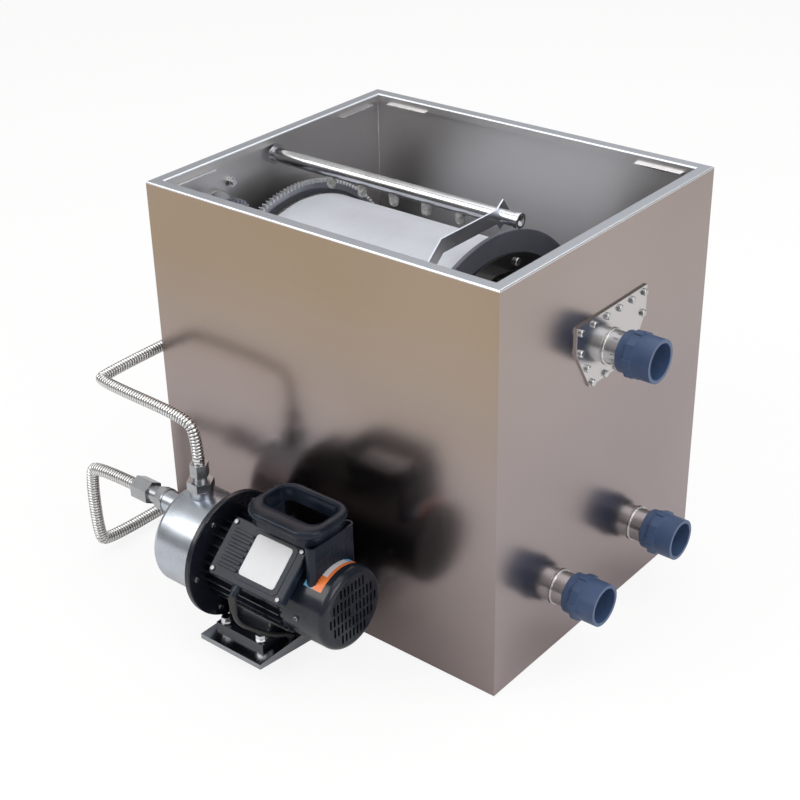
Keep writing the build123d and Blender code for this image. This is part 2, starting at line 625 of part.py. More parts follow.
# Spray bar, cap, nuts, nozzles, bracket and elbow
spray_bar = ring_x(SPRAY_R, SPRAY_R - SPRAY_WALL, SPRAY_X0, SPRAY_X1, 0, SPRAY_Z)
rail_z1 = SPRAY_Z - SPRAY_R + 0.6
rail_x0 = -IN_X + SPRAY_NUT_THICK + 2
rail = block(
    rail_x0, BRACKET_X - GAP, -RAIL_WIDTH / 2, RAIL_WIDTH / 2, rail_z1 - RAIL_THICK, rail_z1)
spray_bar += rail - rod_x(SPRAY_R - 0.1, rail_x0 - 1, BRACKET_X, 0, SPRAY_Z)
left_wall -= rod_x(SPRAY_R, -WALL_X - 1, -IN_X + 1, 0, SPRAY_Z)
cap_x1 = SPRAY_X1 + END_CAP_LENGTH
spray_end_cap = rod_x(END_CAP_R, SPRAY_X1, cap_x1, 0, SPRAY_Z)
spray_end_cap = fillet(spray_end_cap.edges().sort_by(Axis.X)[-1], 1.2)
spray_end_cap -= hex_x(13, cap_x1 - 4, cap_x1 + 1, 0, SPRAY_Z)
spray_nuts = []
for x0 in (-IN_X, -WALL_X - SPRAY_NUT_THICK):
    nut = hex_x(SPRAY_NUT_FLATS, x0, x0 + SPRAY_NUT_THICK, 0, SPRAY_Z)
    spray_nuts.append(nut - rod_x(SPRAY_R, x0 - 1, x0 + 20, 0, SPRAY_Z))
nozzle_top = rail_z1 - RAIL_THICK
spray_nozzles = []
for index in range(NOZZLES):
    x = SCREEN_X0 + NOZZLE_START + NOZZLE_PITCH * index
    body = hex_z(NOZZLE_FLATS, nozzle_top - NOZZLE_LENGTH / 2, nozzle_top, x, 0)
    cone = Pos(x, 0, nozzle_top - NOZZLE_LENGTH * 0.75) * Cone(5, 7.5, NOZZLE_LENGTH / 2)
    spray_nozzles.append(body + cone)
eye_r = SPRAY_R + 5
arm_half = BRACKET_HEIGHT / 2
drop = (IN_Y + BRACKET_BEND_Y) * tan(radians(BRACKET_SLOPE))
bracket_outline = [
    (0, SPRAY_Z + arm_half), (BRACKET_BEND_Y, SPRAY_Z + arm_half),
    (-IN_Y, SPRAY_Z + arm_half - drop), (-IN_Y, SPRAY_Z - arm_half - drop - 5),
    (BRACKET_BEND_Y + 4, SPRAY_Z - arm_half), (0, SPRAY_Z - arm_half)]
spray_bracket = plate_x(bracket_outline, BRACKET_X, BRACKET_X1)
eye = Pos(BRACKET_X, 3, SPRAY_Z) * Rot(35, 0, 0) * Pos(BRACKET_THICK / 2, 0, 0)
spray_bracket += eye * Box(BRACKET_THICK, 2 * eye_r, 2 * eye_r)
spray_bracket += block(
    BRACKET_X, BRACKET_X + BRACKET_TAB, -IN_Y, -IN_Y + BRACKET_THICK,
    SPRAY_Z - arm_half - drop - 5, SPRAY_Z + arm_half - drop)
spray_bracket -= rod_x(SPRAY_R, BRACKET_X - 1, BRACKET_X1 + 1, 0, SPRAY_Z)
elbow_z0 = SPRAY_Z - ELBOW_DROP
elbow_nut_z1 = elbow_z0 + ELBOW_NUT
spray_elbow = rod_x(ELBOW_R, ELBOW_X, SPRAY_X0, 0, SPRAY_Z) + Pos(ELBOW_X, 0, SPRAY_Z) * Sphere(ELBOW_R)
spray_elbow += rod_z(ELBOW_R, elbow_nut_z1 - 2, SPRAY_Z, ELBOW_X, 0)
spray_elbow += hex_z(ELBOW_NUT_FLATS, elbow_z0, elbow_nut_z1, ELBOW_X, 0)

# Pump shelf: top plate, front lip, two side cheeks that deepen towards the wall
cheek_outline = [
    (SHELF_FRONT, SHELF_TOP), (SHELF_FRONT, SHELF_TOP - SHELF_LIP),
    (-WALL_Y, SHELF_TOP - SHELF_ROOT), (-WALL_Y, SHELF_TOP)]
pump_shelf = block(SHELF_X0, SHELF_X1, SHELF_FRONT, -WALL_Y, SHELF_TOP - SHELF_THICK, SHELF_TOP)
pump_shelf += block(
    SHELF_X0, SHELF_X1, SHELF_FRONT, SHELF_FRONT + SHELF_THICK, SHELF_TOP - SHELF_LIP, SHELF_TOP)
for x0 in (SHELF_X0, SHELF_X1 - SHELF_THICK):
    pump_shelf += plate_x(cheek_outline, x0, x0 + SHELF_THICK)
pump_shelf -= rod_z(LEAD_HOLE_R, 0, SHELF_TOP + 1, *LEAD_HOLE)

# Pump barrel with its suction and discharge bosses, plug and unions
barrel_x1 = FLANGE_X - FLANGE_THICK
barrel = rod_x(BARREL_R, BARREL_X0, barrel_x1, PUMP_Y, PUMP_Z)
barrel = fillet(barrel.edges().sort_by(Axis.X)[0], 9)
barrel += rod_x(BARREL_R + 1.2, barrel_x1 - 16, barrel_x1 - 10, PUMP_Y, PUMP_Z)
suction_boss = rod_x(BOSS_R, SUCTION_BOSS_X, BARREL_X0 + 20, PUMP_Y, SUCTION_Z)
discharge_boss = rod_z(BOSS_R, PUMP_Z, DISCHARGE_BOSS_Z, DISCHARGE_X, PUMP_Y)
plug_x = BARREL_X0 + PLUG_OFFSET_X
plug_y = PUMP_Y + PLUG_OFFSET_Y
plug_z = PUMP_Z + BARREL_R * cos(asin(PLUG_OFFSET_Y / BARREL_R))
plug_boss = rod_z(PLUG_BOSS_R, PUMP_Z, plug_z + 2, plug_x, plug_y)
pump_barrel = barrel + suction_boss + discharge_boss + plug_boss
hollow = rod_x(BARREL_R - BARREL_WALL, BARREL_X0 + BARREL_WALL, barrel_x1 + 1, PUMP_Y, PUMP_Z)
pump_barrel -= fillet(hollow.edges().sort_by(Axis.X)[0], 9 - BARREL_WALL)
pump_barrel -= rod_x(BOSS_BORE_R, SUCTION_BOSS_X - 1, BARREL_X0 + 21, PUMP_Y, SUCTION_Z)
pump_barrel -= rod_z(BOSS_BORE_R, PUMP_Z, DISCHARGE_BOSS_Z + 1, DISCHARGE_X, PUMP_Y)
priming_plug = hex_z(PLUG_FLATS, plug_z + 2, plug_z + 8, plug_x, plug_y)


def hose_union(nut_flats, neck_r, neck_length, tail_flats, tail_length):
    """Union along Z: washer, nut, neck and the hexagon that the hose is made to."""
    nut_top = UNION_WASHER + UNION_NUT
    tail_start = nut_top + neck_length
    shape = rod_z(BOSS_R + 1, 0, UNION_WASHER, 0, 0)
    shape += hex_z(nut_flats, UNION_WASHER, nut_top, 0, 0)
    shape += rod_z(neck_r, nut_top, tail_start, 0, 0)
    return shape + hex_z(tail_flats, tail_start, tail_start + tail_length, 0, 0)


discharge_union = Pos(DISCHARGE_X, PUMP_Y, DISCHARGE_BOSS_Z) * hose_union(
    DISCHARGE_NUT_FLATS, DISCHARGE_NECK_R, DISCHARGE_NECK, DISCHARGE_TAIL_FLATS, DISCHARGE_TAIL)
suction_union = Pos(SUCTION_BOSS_X, PUMP_Y, SUCTION_Z) * Rot(0, -90, 0) * hose_union(
    SUCTION_NUT_FLATS, SUCTION_NECK_R, SUCTION_NECK, SUCTION_NUT_FLATS, SUCTION_TAIL)

# Motor: flange, finned housing with its foot, rotor, fan, impeller
motor_flange = ring_x(
    FLANGE_R, MOTOR_SHAFT_R + RUNNING, barrel_x1, FLANGE_X, PUMP_Y, PUMP_Z)
motor_flange = fillet(
    motor_flange.edges().group_by(Axis.X)[-1].sort_by(SortBy.RADIUS)[-1], 2)
core = rod_x(CORE_R, FLANGE_X, HOUSING_X1, PUMP_Y, PUMP_Z)
fin = block(FLANGE_X, HOUSING_X1, -FIN_THICK / 2, FIN_THICK / 2, CORE_R - 4, FIN_R)
fin_set = None
for index in range(FINS):
    blade = Rot(360 * index / FINS, 0, 0) * fin
    fin_set = blade if fin_set is None else fin_set + blade
motor_housing = core + Pos(0, PUMP_Y, PUMP_Z) * fin_set
on_box = Pos(0, PUMP_Y, PUMP_Z) * Rot(BOX_TILT, 0, 0)
motor_housing += on_box * block(BOX_X0 + 5, HOUSING_X1, 5 - BOX_HALF, BOX_HALF - 5, 30, BOX_BASE_R)
foot_half = FOOT_BOLT_Y + 9
foot_x0 = FOOT_BOLT_X[0] - 11
foot_x1 = FOOT_BOLT_X[1] + 11
foot = block(
    foot_x0, foot_x1, PUMP_Y - foot_half, PUMP_Y + foot_half, SHELF_TOP, SHELF_TOP + FOOT_HEIGHT)
saddle = block(foot_x0 + 4, foot_x1 - 4, PUMP_Y - 30, PUMP_Y + 30, SHELF_TOP, PUMP_Z - 30)
motor_housing += foot + saddle
handle_base = block(
    HANDLE_X0, HANDLE_X0 + HANDLE_RING, PUMP_Y - 12, PUMP_Y + 30, PUMP_Z, PUMP_Z + FIN_R + 2)
motor_housing += handle_base
motor_housing -= rod_x(ROTOR_R + 0.6, FLANGE_X - 1, HOUSING_X1 - 8, PUMP_Y, PUMP_Z)
motor_housing -= rod_x(MOTOR_SHAFT_R + RUNNING, FLANGE_X, HOUSING_X1 + 1, PUMP_Y, PUMP_Z)
motor_rotor = rod_x(MOTOR_SHAFT_R, BARREL_X0 + 30, FAN_COVER_X1 - 14, PUMP_Y, PUMP_Z)
motor_rotor += rod_x(ROTOR_R, FLANGE_X + 18, HOUSING_X1 - 20, PUMP_Y, PUMP_Z)

fan_x1 = FAN_COVER_X1 - 16
fan_x0 = fan_x1 - 20
cooling_fan = rod_x(16, fan_x0, fan_x1, PUMP_Y, PUMP_Z)
cooling_fan += rod_x(FAN_R, fan_x0, fan_x0 + 2, PUMP_Y, PUMP_Z)
for index in range(FAN_BLADES):
    blade = Rot(360 * index / FAN_BLADES, 0, 0) * block(fan_x0, fan_x1, -1, 1, 12, FAN_R)
    cooling_fan += Pos(0, PUMP_Y, PUMP_Z) * blade
cooling_fan -= rod_x(MOTOR_SHAFT_R, fan_x0 - 1, fan_x1 + 1, PUMP_Y, PUMP_Z)
impeller_x0 = BARREL_X0 + 32
impeller = rod_x(IMPELLER_R, impeller_x0, impeller_x0 + 2, PUMP_Y, PUMP_Z)
impeller += rod_x(13, impeller_x0, impeller_x0 + 12, PUMP_Y, PUMP_Z)
for index in range(IMPELLER_VANES):
    vane = block(impeller_x0, impeller_x0 + 10, -1, 1, 10, IMPELLER_R)
    impeller += Pos(0, PUMP_Y, PUMP_Z) * Rot(360 * index / IMPELLER_VANES, 0, 0) * vane
impeller -= rod_x(MOTOR_SHAFT_R, impeller_x0 - 1, impeller_x0 + 14, PUMP_Y, PUMP_Z)

# Fan cover with a slotted end
fan_cover = rod_x(FAN_COVER_R, HOUSING_X1, FAN_COVER_X1, PUMP_Y, PUMP_Z)
fan_cover = fillet(fan_cover.edges().sort_by(Axis.X)[-1], 10)
cavity = rod_x(
    FAN_COVER_R - FAN_COVER_WALL, HOUSING_X1 - 1, FAN_COVER_X1 - FAN_COVER_WALL, PUMP_Y, PUMP_Z)
fan_cover -= fillet(cavity.edges().sort_by(Axis.X)[-1], 8)
for row in range(-2, 3):
    for column in range(-6, 7):
        reach = hypot(column * SLOT_PITCH_Y, abs(row * SLOT_PITCH_Z) + SLOT_HEIGHT / 2)
        if reach < FAN_COVER_R - 11 and (row, column) != (0, 0):
            fan_cover -= block(
                FAN_COVER_X1 - 6, FAN_COVER_X1 + 1,
                PUMP_Y + column * SLOT_PITCH_Y - SLOT_WIDTH / 2,
                PUMP_Y + column * SLOT_PITCH_Y + SLOT_WIDTH / 2,
                PUMP_Z + row * SLOT_PITCH_Z - SLOT_HEIGHT / 2,
                PUMP_Z + row * SLOT_PITCH_Z + SLOT_HEIGHT / 2)

# Terminal box, ribbed cover and screws, built upright and tilted about the pump axis
box = block(BOX_X0, BOX_X1, -BOX_HALF, BOX_HALF, BOX_BASE_R, BOX_FACE_R)
box = fillet(box.edges().filter_by(Axis.Z), 7)
box_skirt = block(HOUSING_X1 + GAP, BOX_X1 - 8, 8 - BOX_HALF, BOX_HALF - 8, FAN_COVER_R + 1, BOX_BASE_R)
gland = rod_y(7, -BOX_HALF - 9, -BOX_HALF + 5, GLAND_X, BOX_BASE_R + 3)
gland += rod_y(5.5, -BOX_HALF - 16, -BOX_HALF, GLAND_X, BOX_BASE_R + 3)
gland &= block(BOX_X0, BOX_X1, -BOX_HALF - 20, BOX_HALF, BOX_BASE_R - 8, BOX_FACE_R)
terminal_box = on_box * (box + box_skirt + gland)
cover = block(BOX_X0, BOX_X1, -BOX_HALF, BOX_HALF, BOX_FACE_R, COVER_FACE_R)
cover = fillet(cover.edges().filter_by(Axis.Z), 7)
cover = chamfer(cover.faces().sort_by(Axis.Z)[-1].edges(), 1.5)
for index in range(6):
    v = (index - 2.5) * 10
    cover += block(BOX_X0 + 12, BOX_X0 + 46, v - 2, v + 2, COVER_FACE_R - 1, COVER_FACE_R + 2)
box_mid = (BOX_X0 + BOX_X1) / 2
cover_screws = []
for side_x in (-1, 1):
    for side_v in (-1, 1):
        x = box_mid + side_x * COVER_SCREW_X
        v = side_v * COVER_SCREW_V
        cover -= rod_z(2, BOX_FACE_R - 1, COVER_FACE_R + 1, x, v)
        screw = rod_z(2, BOX_FACE_R, COVER_FACE_R + 1, x, v)
        screw += fillet(rod_z(3.6, COVER_FACE_R, COVER_FACE_R + 2.4, x, v).edges().sort_by(Axis.Z)[-1], 1)
        cover_screws.append(on_box * screw)
terminal_cover = on_box * cover

# Carry handle: rounded frame on a leg over the motor and a leg over the fan cover
handle_mid_x = (HANDLE_X0 + HANDLE_X1) / 2
handle_len = HANDLE_X1 - HANDLE_X0
frame_ring = extrude(
    Pos(handle_mid_x, PUMP_Y + 3, HANDLE_TOP - HANDLE_RING)
    * (RectangleRounded(handle_len, 2 * HANDLE_HALF, 26)
       - Pos(2, 5, 0) * RectangleRounded(handle_len - 32, 2 * HANDLE_HOLE_HALF, 16)),
    HANDLE_RING)
frame_ring = fillet(frame_ring.faces().sort_by(Axis.Z)[-1].edges(), 4)
leg_left = block(
    HANDLE_X0 + 1, HANDLE_X0 + 14, PUMP_Y - 10, PUMP_Y + 28, PUMP_Z + FIN_R + 2,
    HANDLE_TOP - HANDLE_RING + 2)
leg_right = extrude(
    Pos(handle_mid_x, PUMP_Y + 3, PUMP_Z + 20)
    * (RectangleRounded(handle_len - 2, 2 * HANDLE_HALF - 2, 26)
       - Pos(-16, 0, 0) * Rectangle(handle_len, 2 * HANDLE_HALF + 4)),
    HANDLE_TOP - HANDLE_RING - PUMP_Z - 18)
leg_right -= rod_x(FAN_COVER_R, HOUSING_X1 - 40, FAN_COVER_X1, PUMP_Y, PUMP_Z)
carry_handle = frame_ring + leg_left + leg_right

foot_bolts = []
for x in FOOT_BOLT_X:
    for side in (-1, 1):
        y = PUMP_Y + side * FOOT_BOLT_Y
        hole = rod_z(4.3, SHELF_TOP - 6, SHELF_TOP + FOOT_HEIGHT + 1, x, y)
        motor_housing -= hole
        pump_shelf -= hole
        foot_top = SHELF_TOP + FOOT_HEIGHT
        bolt = rod_z(4, SHELF_TOP - 8, foot_top + 3, x, y) + rod_z(8.5, foot_top, foot_top + 2, x, y)
        bolt += hex_z(13, foot_top + 2, foot_top + 10, x, y)
        bolt += hex_z(13, SHELF_TOP - SHELF_THICK - 5, SHELF_TOP - SHELF_THICK, x, y)
        foot_bolts.append(bolt)


# Hoses: straight runs joined by arcs; routes are chosen points
def tube_along(points, radii, radius):
    """Round tube along straight runs joined by tangent arcs."""
    path = FilletPolyline(*points, radius=radii)
    section = Plane(origin=path @ 0, z_dir=path % 0) * Circle(radius)
    solid = sweep(section, path=path)
    print("tube", round(path.length, 1), "volume ratio", solid.volume / (path.length * pi * radius ** 2))
    return solid


def bend_radii(points):
    """Arc radius at each inner point: 0.45 of the shorter run over the tangent of half the turn."""
    radii = []
    for before, at, after in zip(points, points[1:], points[2:]):
        run_in = Vector(*at) - Vector(*before)
        run_out = Vector(*after) - Vector(*at)
        half_turn = radians(run_in.get_angle(run_out)) / 2
        radii.append(0.45 * min(run_in.length, run_out.length) / tan(half_turn))
    print("radii", [round(radius, 1) for radius in radii])
    return radii


discharge_z0 = (
    DISCHARGE_BOSS_Z + UNION_WASHER + UNION_NUT + DISCHARGE_NECK + DISCHARGE_TAIL)
suction_x1 = SUCTION_BOSS_X - UNION_WASHER - UNION_NUT - SUCTION_NECK - SUCTION_TAIL
DISCHARGE_ROUTE = [
    (DISCHARGE_X, PUMP_Y, discharge_z0), (DISCHARGE_X, PUMP_Y, 306), (-150, PUMP_Y, 318),
    (-331, PUMP_Y, 319), (-342, -336, 319), (-342, -44, 318), (-340, -14, 326),
    (ELBOW_X, 0, 356), (ELBOW_X, 0, elbow_z0)]
SUCTION_ROUTE = [
    (suction_x1, PUMP_Y, SUCTION_Z), (-364, PUMP_Y, SUCTION_Z), (-377, PUMP_Y, 150),
    (-377, PUMP_Y, 28), (-377, -335, 15), (-377, -120, 15), (-360, -78, 24), (-338, -60, 30),
    (-WALL_X - BULKHEAD_NUT, -60, 30)]
discharge_hose = tube_along(DISCHARGE_ROUTE, bend_radii(DISCHARGE_ROUTE), HOSE_R)
suction_hose = tube_along(SUCTION_ROUTE, bend_radii(SUCTION_ROUTE), HOSE_R)
bulkhead_y, bulkhead_z = SUCTION_ROUTE[-1][1:]
left_wall -= rod_x(BULKHEAD_R, -WALL_X - 1, -IN_X + 1, bulkhead_y, bulkhead_z)
suction_bulkhead = rod_x(BULKHEAD_R, -WALL_X - 10, -IN_X + 16, bulkhead_y, bulkhead_z)
suction_bulkhead += hex_x(
    BULKHEAD_FLATS, SUCTION_ROUTE[-1][0], -WALL_X, bulkhead_y, bulkhead_z)
suction_bulkhead += hex_x(
    BULKHEAD_FLATS, -IN_X, -IN_X + BULKHEAD_INNER_NUT, bulkhead_y, bulkhead_z)

# Mains lead: from the gland down to the shelf, through its hole, into a coil beneath it
gland_v = BOX_HALF + 16
gland_y = PUMP_Y - (BOX_BASE_R + 3) * sin(radians(BOX_TILT)) - gland_v * cos(radians(BOX_TILT))
gland_z = PUMP_Z + (BOX_BASE_R + 3) * cos(radians(BOX_TILT)) - gland_v * sin(radians(BOX_TILT))
LEAD_ROUTE = [
    (GLAND_X, gland_y, gland_z),
    (GLAND_X, gland_y - 16 * cos(radians(BOX_TILT)), gland_z - 16 * sin(radians(BOX_TILT))),
    (GLAND_X + 1, gland_y - 8, gland_z - 40), (GLAND_X + 10, gland_y + 20, gland_z - 66),
    (GLAND_X + 19, gland_y + 52, 52), (26, -352, 38), (26, -351, 16), (16, -347, 6)]
power_lead = tube_along(LEAD_ROUTE, bend_radii(LEAD_ROUTE), LEAD_R)
coil_section = Pos(COIL_R, 0, COIL_HEIGHT / 2) * (
    Rot(90, 0, 0) * RectangleRounded(2 * COIL_HALF_WIDTH, COIL_HEIGHT, 4))
lead_coil = Pos(*COIL_AT, 0) * revolve(coil_section, Axis.Z)
plug_x0 = COIL_AT[0] - PLUG_AT_X
plug_y0 = COIL_AT[1] + COIL_R + COIL_HALF_WIDTH + GAP
lead_plug = block(
    plug_x0, plug_x0 + PLUG_LENGTH, plug_y0, plug_y0 + PLUG_WIDTH, 0, PLUG_HEIGHT)
lead_plug = fillet(lead_plug.edges().filter_by(Axis.X), PLUG_ROUND)

save("tank_floor", floor)
save("front_wall", front_wall)
save("back_wall", back_wall)
save("left_wall", left_wall)
save("right_wall", right_wall)
save("lid_rests", *lid_rests)
save("partition", partition)
save("drum_seal", drum_seal)
save("shield_plate", shield_plate)
save("shield_bolts", *shield_bolts)
save("sludge_trough", sludge_trough)
save("waste_stub", waste_stub)
save("waste_adaptor", waste_adaptor)
save("inlet_stubs", *inlet_stubs)
save("inlet_adaptors", *inlet_adaptors)
save("outlet_stubs", *outlet_stubs)
save("outlet_adaptors", *outlet_adaptors)
save("spray_bar", spray_bar)
save("spray_end_cap", spray_end_cap)
save("spray_nuts", *spray_nuts)
save("spray_nozzles", *spray_nozzles)
save("spray_bracket", spray_bracket)
save("spray_elbow", spray_elbow)
save("drum_screen", drum_screen)
save("drum_frame", drum_frame)
save("drum_end_disc", drum_end_disc)
save("drum_end_ring", drum_end_ring)
save("drum_clamp_ring", drum_clamp_ring)
save("drum_end_bolts", *drum_end_bolts)
save("drum_stub_shaft", drum_stub_shaft)
save("drum_bearing", drum_bearing)
save("ring_gear", ring_gear)
save("pinion", pinion)
save("pinion_shaft", pinion_shaft)
save("pinion_bearing", pinion_bearing)
save("gearbox", gearbox)
save("gearbox_bolts", *gearbox_bolts)
save("drum_motor", drum_motor)
save("roller_front", rollers[0])
save("roller_back", rollers[1])
save("roller_brackets", *roller_brackets)
save("pump_shelf", pump_shelf)
save("pump_barrel", pump_barrel)
save("priming_plug", priming_plug)
save("pump_unions", discharge_union, suction_union, suction_bulkhead)
save("motor_flange", motor_flange)
save("motor_housing", motor_housing)
save("motor_rotor", motor_rotor)
save("cooling_fan", cooling_fan)
save("impeller", impeller)
save("fan_cover", fan_cover)
save("terminal_box", terminal_box)
save("terminal_cover", terminal_cover)
save("cover_screws", *cover_screws)
save("carry_handle", carry_handle)
save("foot_bolts", *foot_bolts)
save("discharge_hose", discharge_hose)
save("suction_hose", suction_hose)
save("power_lead", power_lead)
save("lead_coil", lead_coil, lead_plug)
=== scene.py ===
"""Looks of a rotary drum filter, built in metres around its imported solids."""

import json
import logging
import math
from dataclasses import dataclass, field
from enum import Enum
from typing import Any, Iterable, Sequence

import bmesh
import bpy
import numpy as np
from mathutils import Matrix, Vector

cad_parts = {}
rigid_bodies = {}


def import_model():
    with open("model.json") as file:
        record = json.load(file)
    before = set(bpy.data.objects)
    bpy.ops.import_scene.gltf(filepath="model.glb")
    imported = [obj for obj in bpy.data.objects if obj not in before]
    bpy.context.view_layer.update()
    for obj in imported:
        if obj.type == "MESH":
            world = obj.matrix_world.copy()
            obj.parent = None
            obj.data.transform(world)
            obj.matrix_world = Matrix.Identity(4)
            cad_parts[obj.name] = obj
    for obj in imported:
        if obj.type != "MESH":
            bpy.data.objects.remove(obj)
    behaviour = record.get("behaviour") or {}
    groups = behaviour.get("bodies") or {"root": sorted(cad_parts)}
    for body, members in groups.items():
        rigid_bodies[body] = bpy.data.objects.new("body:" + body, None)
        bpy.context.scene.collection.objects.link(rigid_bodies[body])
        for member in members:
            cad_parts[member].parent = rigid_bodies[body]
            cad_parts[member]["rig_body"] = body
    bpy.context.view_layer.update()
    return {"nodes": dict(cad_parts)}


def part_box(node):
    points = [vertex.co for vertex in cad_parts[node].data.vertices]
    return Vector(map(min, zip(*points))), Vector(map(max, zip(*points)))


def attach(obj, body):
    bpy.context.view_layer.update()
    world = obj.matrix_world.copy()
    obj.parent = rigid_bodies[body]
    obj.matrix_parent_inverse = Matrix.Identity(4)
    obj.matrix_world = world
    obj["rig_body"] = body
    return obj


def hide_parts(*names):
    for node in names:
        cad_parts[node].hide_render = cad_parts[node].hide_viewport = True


LOG = logging.getLogger("drum_filter")
MM = 0.001

Colour = tuple[float, float, float]
Point = tuple[float, float, float]


class Grain(Enum):
    """Direction in which sheet or bar was ground."""

    X = (6.0, 700.0, 700.0)
    Y = (700.0, 6.0, 700.0)
    Z = (700.0, 700.0, 6.0)


class Body(Enum):
    """Bodies of the filter that pieces ride on."""

    TANK = "tank"
    DRUM = "drum"
    PINION = "pinion"
    ROTOR = "pump_rotor"


class Number:
    """A number socket on which Python arithmetic adds Math nodes."""

    def __init__(self, graph: "Graph", socket: bpy.types.NodeSocket) -> None:
        """Wrap a socket of a graph."""
        self.graph = graph
        self.socket = socket

    def _math(self, operation: str, *values: Any) -> "Number":
        """Add a Math node with these inputs in order."""
        return self.graph.number("ShaderNodeMath", {"operation": operation}, dict(enumerate(values)))

    def __add__(self, other: Any) -> "Number":
        """Sum."""
        return self._math("ADD", self, other)

    __radd__ = __add__

    def __sub__(self, other: Any) -> "Number":
        """Difference."""
        return self._math("SUBTRACT", self, other)

    def __rsub__(self, other: Any) -> "Number":
        """Difference from a plain number."""
        return self._math("SUBTRACT", other, self)

    def __mul__(self, other: Any) -> "Number":
        """Product."""
        return self._math("MULTIPLY", self, other)

    __rmul__ = __mul__

    def __gt__(self, other: Any) -> "Number":
        """One where greater, else zero."""
        return self._math("GREATER_THAN", self, other)

    def __lt__(self, other: Any) -> "Number":
        """One where less, else zero."""
        return self._math("LESS_THAN", self, other)

    def sine(self) -> "Number":
        """Sine of radians."""
        return self._math("SINE", self)

    def absolute(self) -> "Number":
        """Size without sign."""
        return self._math("ABSOLUTE", self)

    def root(self) -> "Number":
        """Square root."""
        return self._math("SQRT", self)

    def between(self, low: float, high: float) -> "Number":
        """Ramp from 0 at low to 1 at high, clamped."""
        return self.graph.number(
            "ShaderNodeMapRange", {"clamp": True},
            {"Value": self, "From Min": low, "From Max": high})


class Graph:
    """Node graph of one material, or of the world."""

    def __init__(self, name: str, world: bool = False) -> None:
        """Start a material with one Principled shader, or an empty world."""
        self.material = bpy.data.worlds.new(name) if world else bpy.data.materials.new(name)
        self.material.use_nodes = True
        self.tree = self.material.node_tree
        self.tree.nodes.clear()
        if world:
            return
        self.shader = self.node("ShaderNodeBsdfPrincipled")
        self.output = self.node("ShaderNodeOutputMaterial", inputs={"Surface": self.shader.outputs[0]})

    def node(self, kind: str, settings: dict[str, Any] | None = None,
             inputs: dict[Any, Any] | None = None) -> bpy.types.Node:
        """Add a node.

        Args:
            kind: The node's type.
            settings: Its own settings, set first; stops gives a ramp's positions and colours.
            inputs: Values or links of its sockets, by name or index.

        Returns:
            The node.
        """
        made = self.tree.nodes.new(kind)
        for key, value in (settings or {}).items():
            if key == "stops":
                ramp = made.color_ramp.elements
                ramp.remove(ramp[-1])
                ramp[0].position = value[0][0]
                ramp[0].color = (*value[0][1], 1.0)
                for position, colour in value[1:]:
                    ramp.new(position).color = (*colour, 1.0)
            elif key == "interpolation":
                made.color_ramp.interpolation = value
            else:
                setattr(made, key, value)
        for key, value in (inputs or {}).items():
            self.feed(made.inputs[key], value)
        return made

    def feed(self, socket: bpy.types.NodeSocket, value: Any) -> None:
        """Link or set one socket."""
        if isinstance(value, Number):
            value = value.socket
        if isinstance(value, bpy.types.NodeSocket):
            self.tree.links.new(value, socket)
        elif isinstance(value, tuple) and len(value) == 3 and socket.type == "RGBA":
            socket.default_value = (*value, 1.0)
        else:
            socket.default_value = value

    def number(self, kind: str, settings: dict[str, Any] | None = None,
               inputs: dict[Any, Any] | None = None, output: Any = 0) -> Number:
        """Add a node and wrap one of its outputs."""
        return Number(self, self.node(kind, settings, inputs).outputs[output])

    def place(self, scale: Point = (1.0, 1.0, 1.0), source: str = "Object") -> bpy.types.NodeSocket:
        """Scaled coordinates of the surface."""
        coordinates = self.node("ShaderNodeTexCoord").outputs[source]
        return self.node("ShaderNodeMapping", inputs={"Vector": coordinates, "Scale": scale}).outputs[0]

    def noise(self, scale: float, stretch: Point = (1.0, 1.0, 1.0), detail: float = 3.0,
              roughness: float = 0.5) -> Number:
        """Smooth noise from 0 to 1 in object coordinates."""
        return self.number("ShaderNodeTexNoise", None, {
            "Vector": self.place(stretch), "Scale": scale, "Detail": detail, "Roughness": roughness})

    def axis(self, index: int, source: str = "Object") -> Number:
        """One coordinate of the surface, in metres on Object coordinates."""
        return self.number("ShaderNodeSeparateXYZ", None, {0: self.place(source=source)}, index)

    def mix(self, share: Any, first: Any, second: Any) -> bpy.types.NodeSocket:
        """Mix two colours."""
        mixed = self.node("ShaderNodeMix", {"data_type": "RGBA"}, {"Factor": share})
        self.feed(mixed.inputs[6], first)
        self.feed(mixed.inputs[7], second)
        return mixed.outputs[2]

    def bump(self, height: Number, strength: float, distance: float) -> bpy.types.NodeSocket:
        """Normal from a height."""
        return self.node("ShaderNodeBump", None, {
            "Height": height, "Strength": strength, "Distance": distance}).outputs[0]

    def finish(self, **sockets: Any) -> bpy.types.Material:
        """Feed the shader's sockets, with underscores for spaces, and return the material."""
        for key, value in sockets.items():
            self.feed(self.shader.inputs[key.replace("_", " ")], value)
        return self.material


@dataclass(frozen=True)
class Finish:
    """A surface finish that can make its material."""

    name: str

    def build(self) -> bpy.types.Material:
        """Make the material."""
        raise NotImplementedError


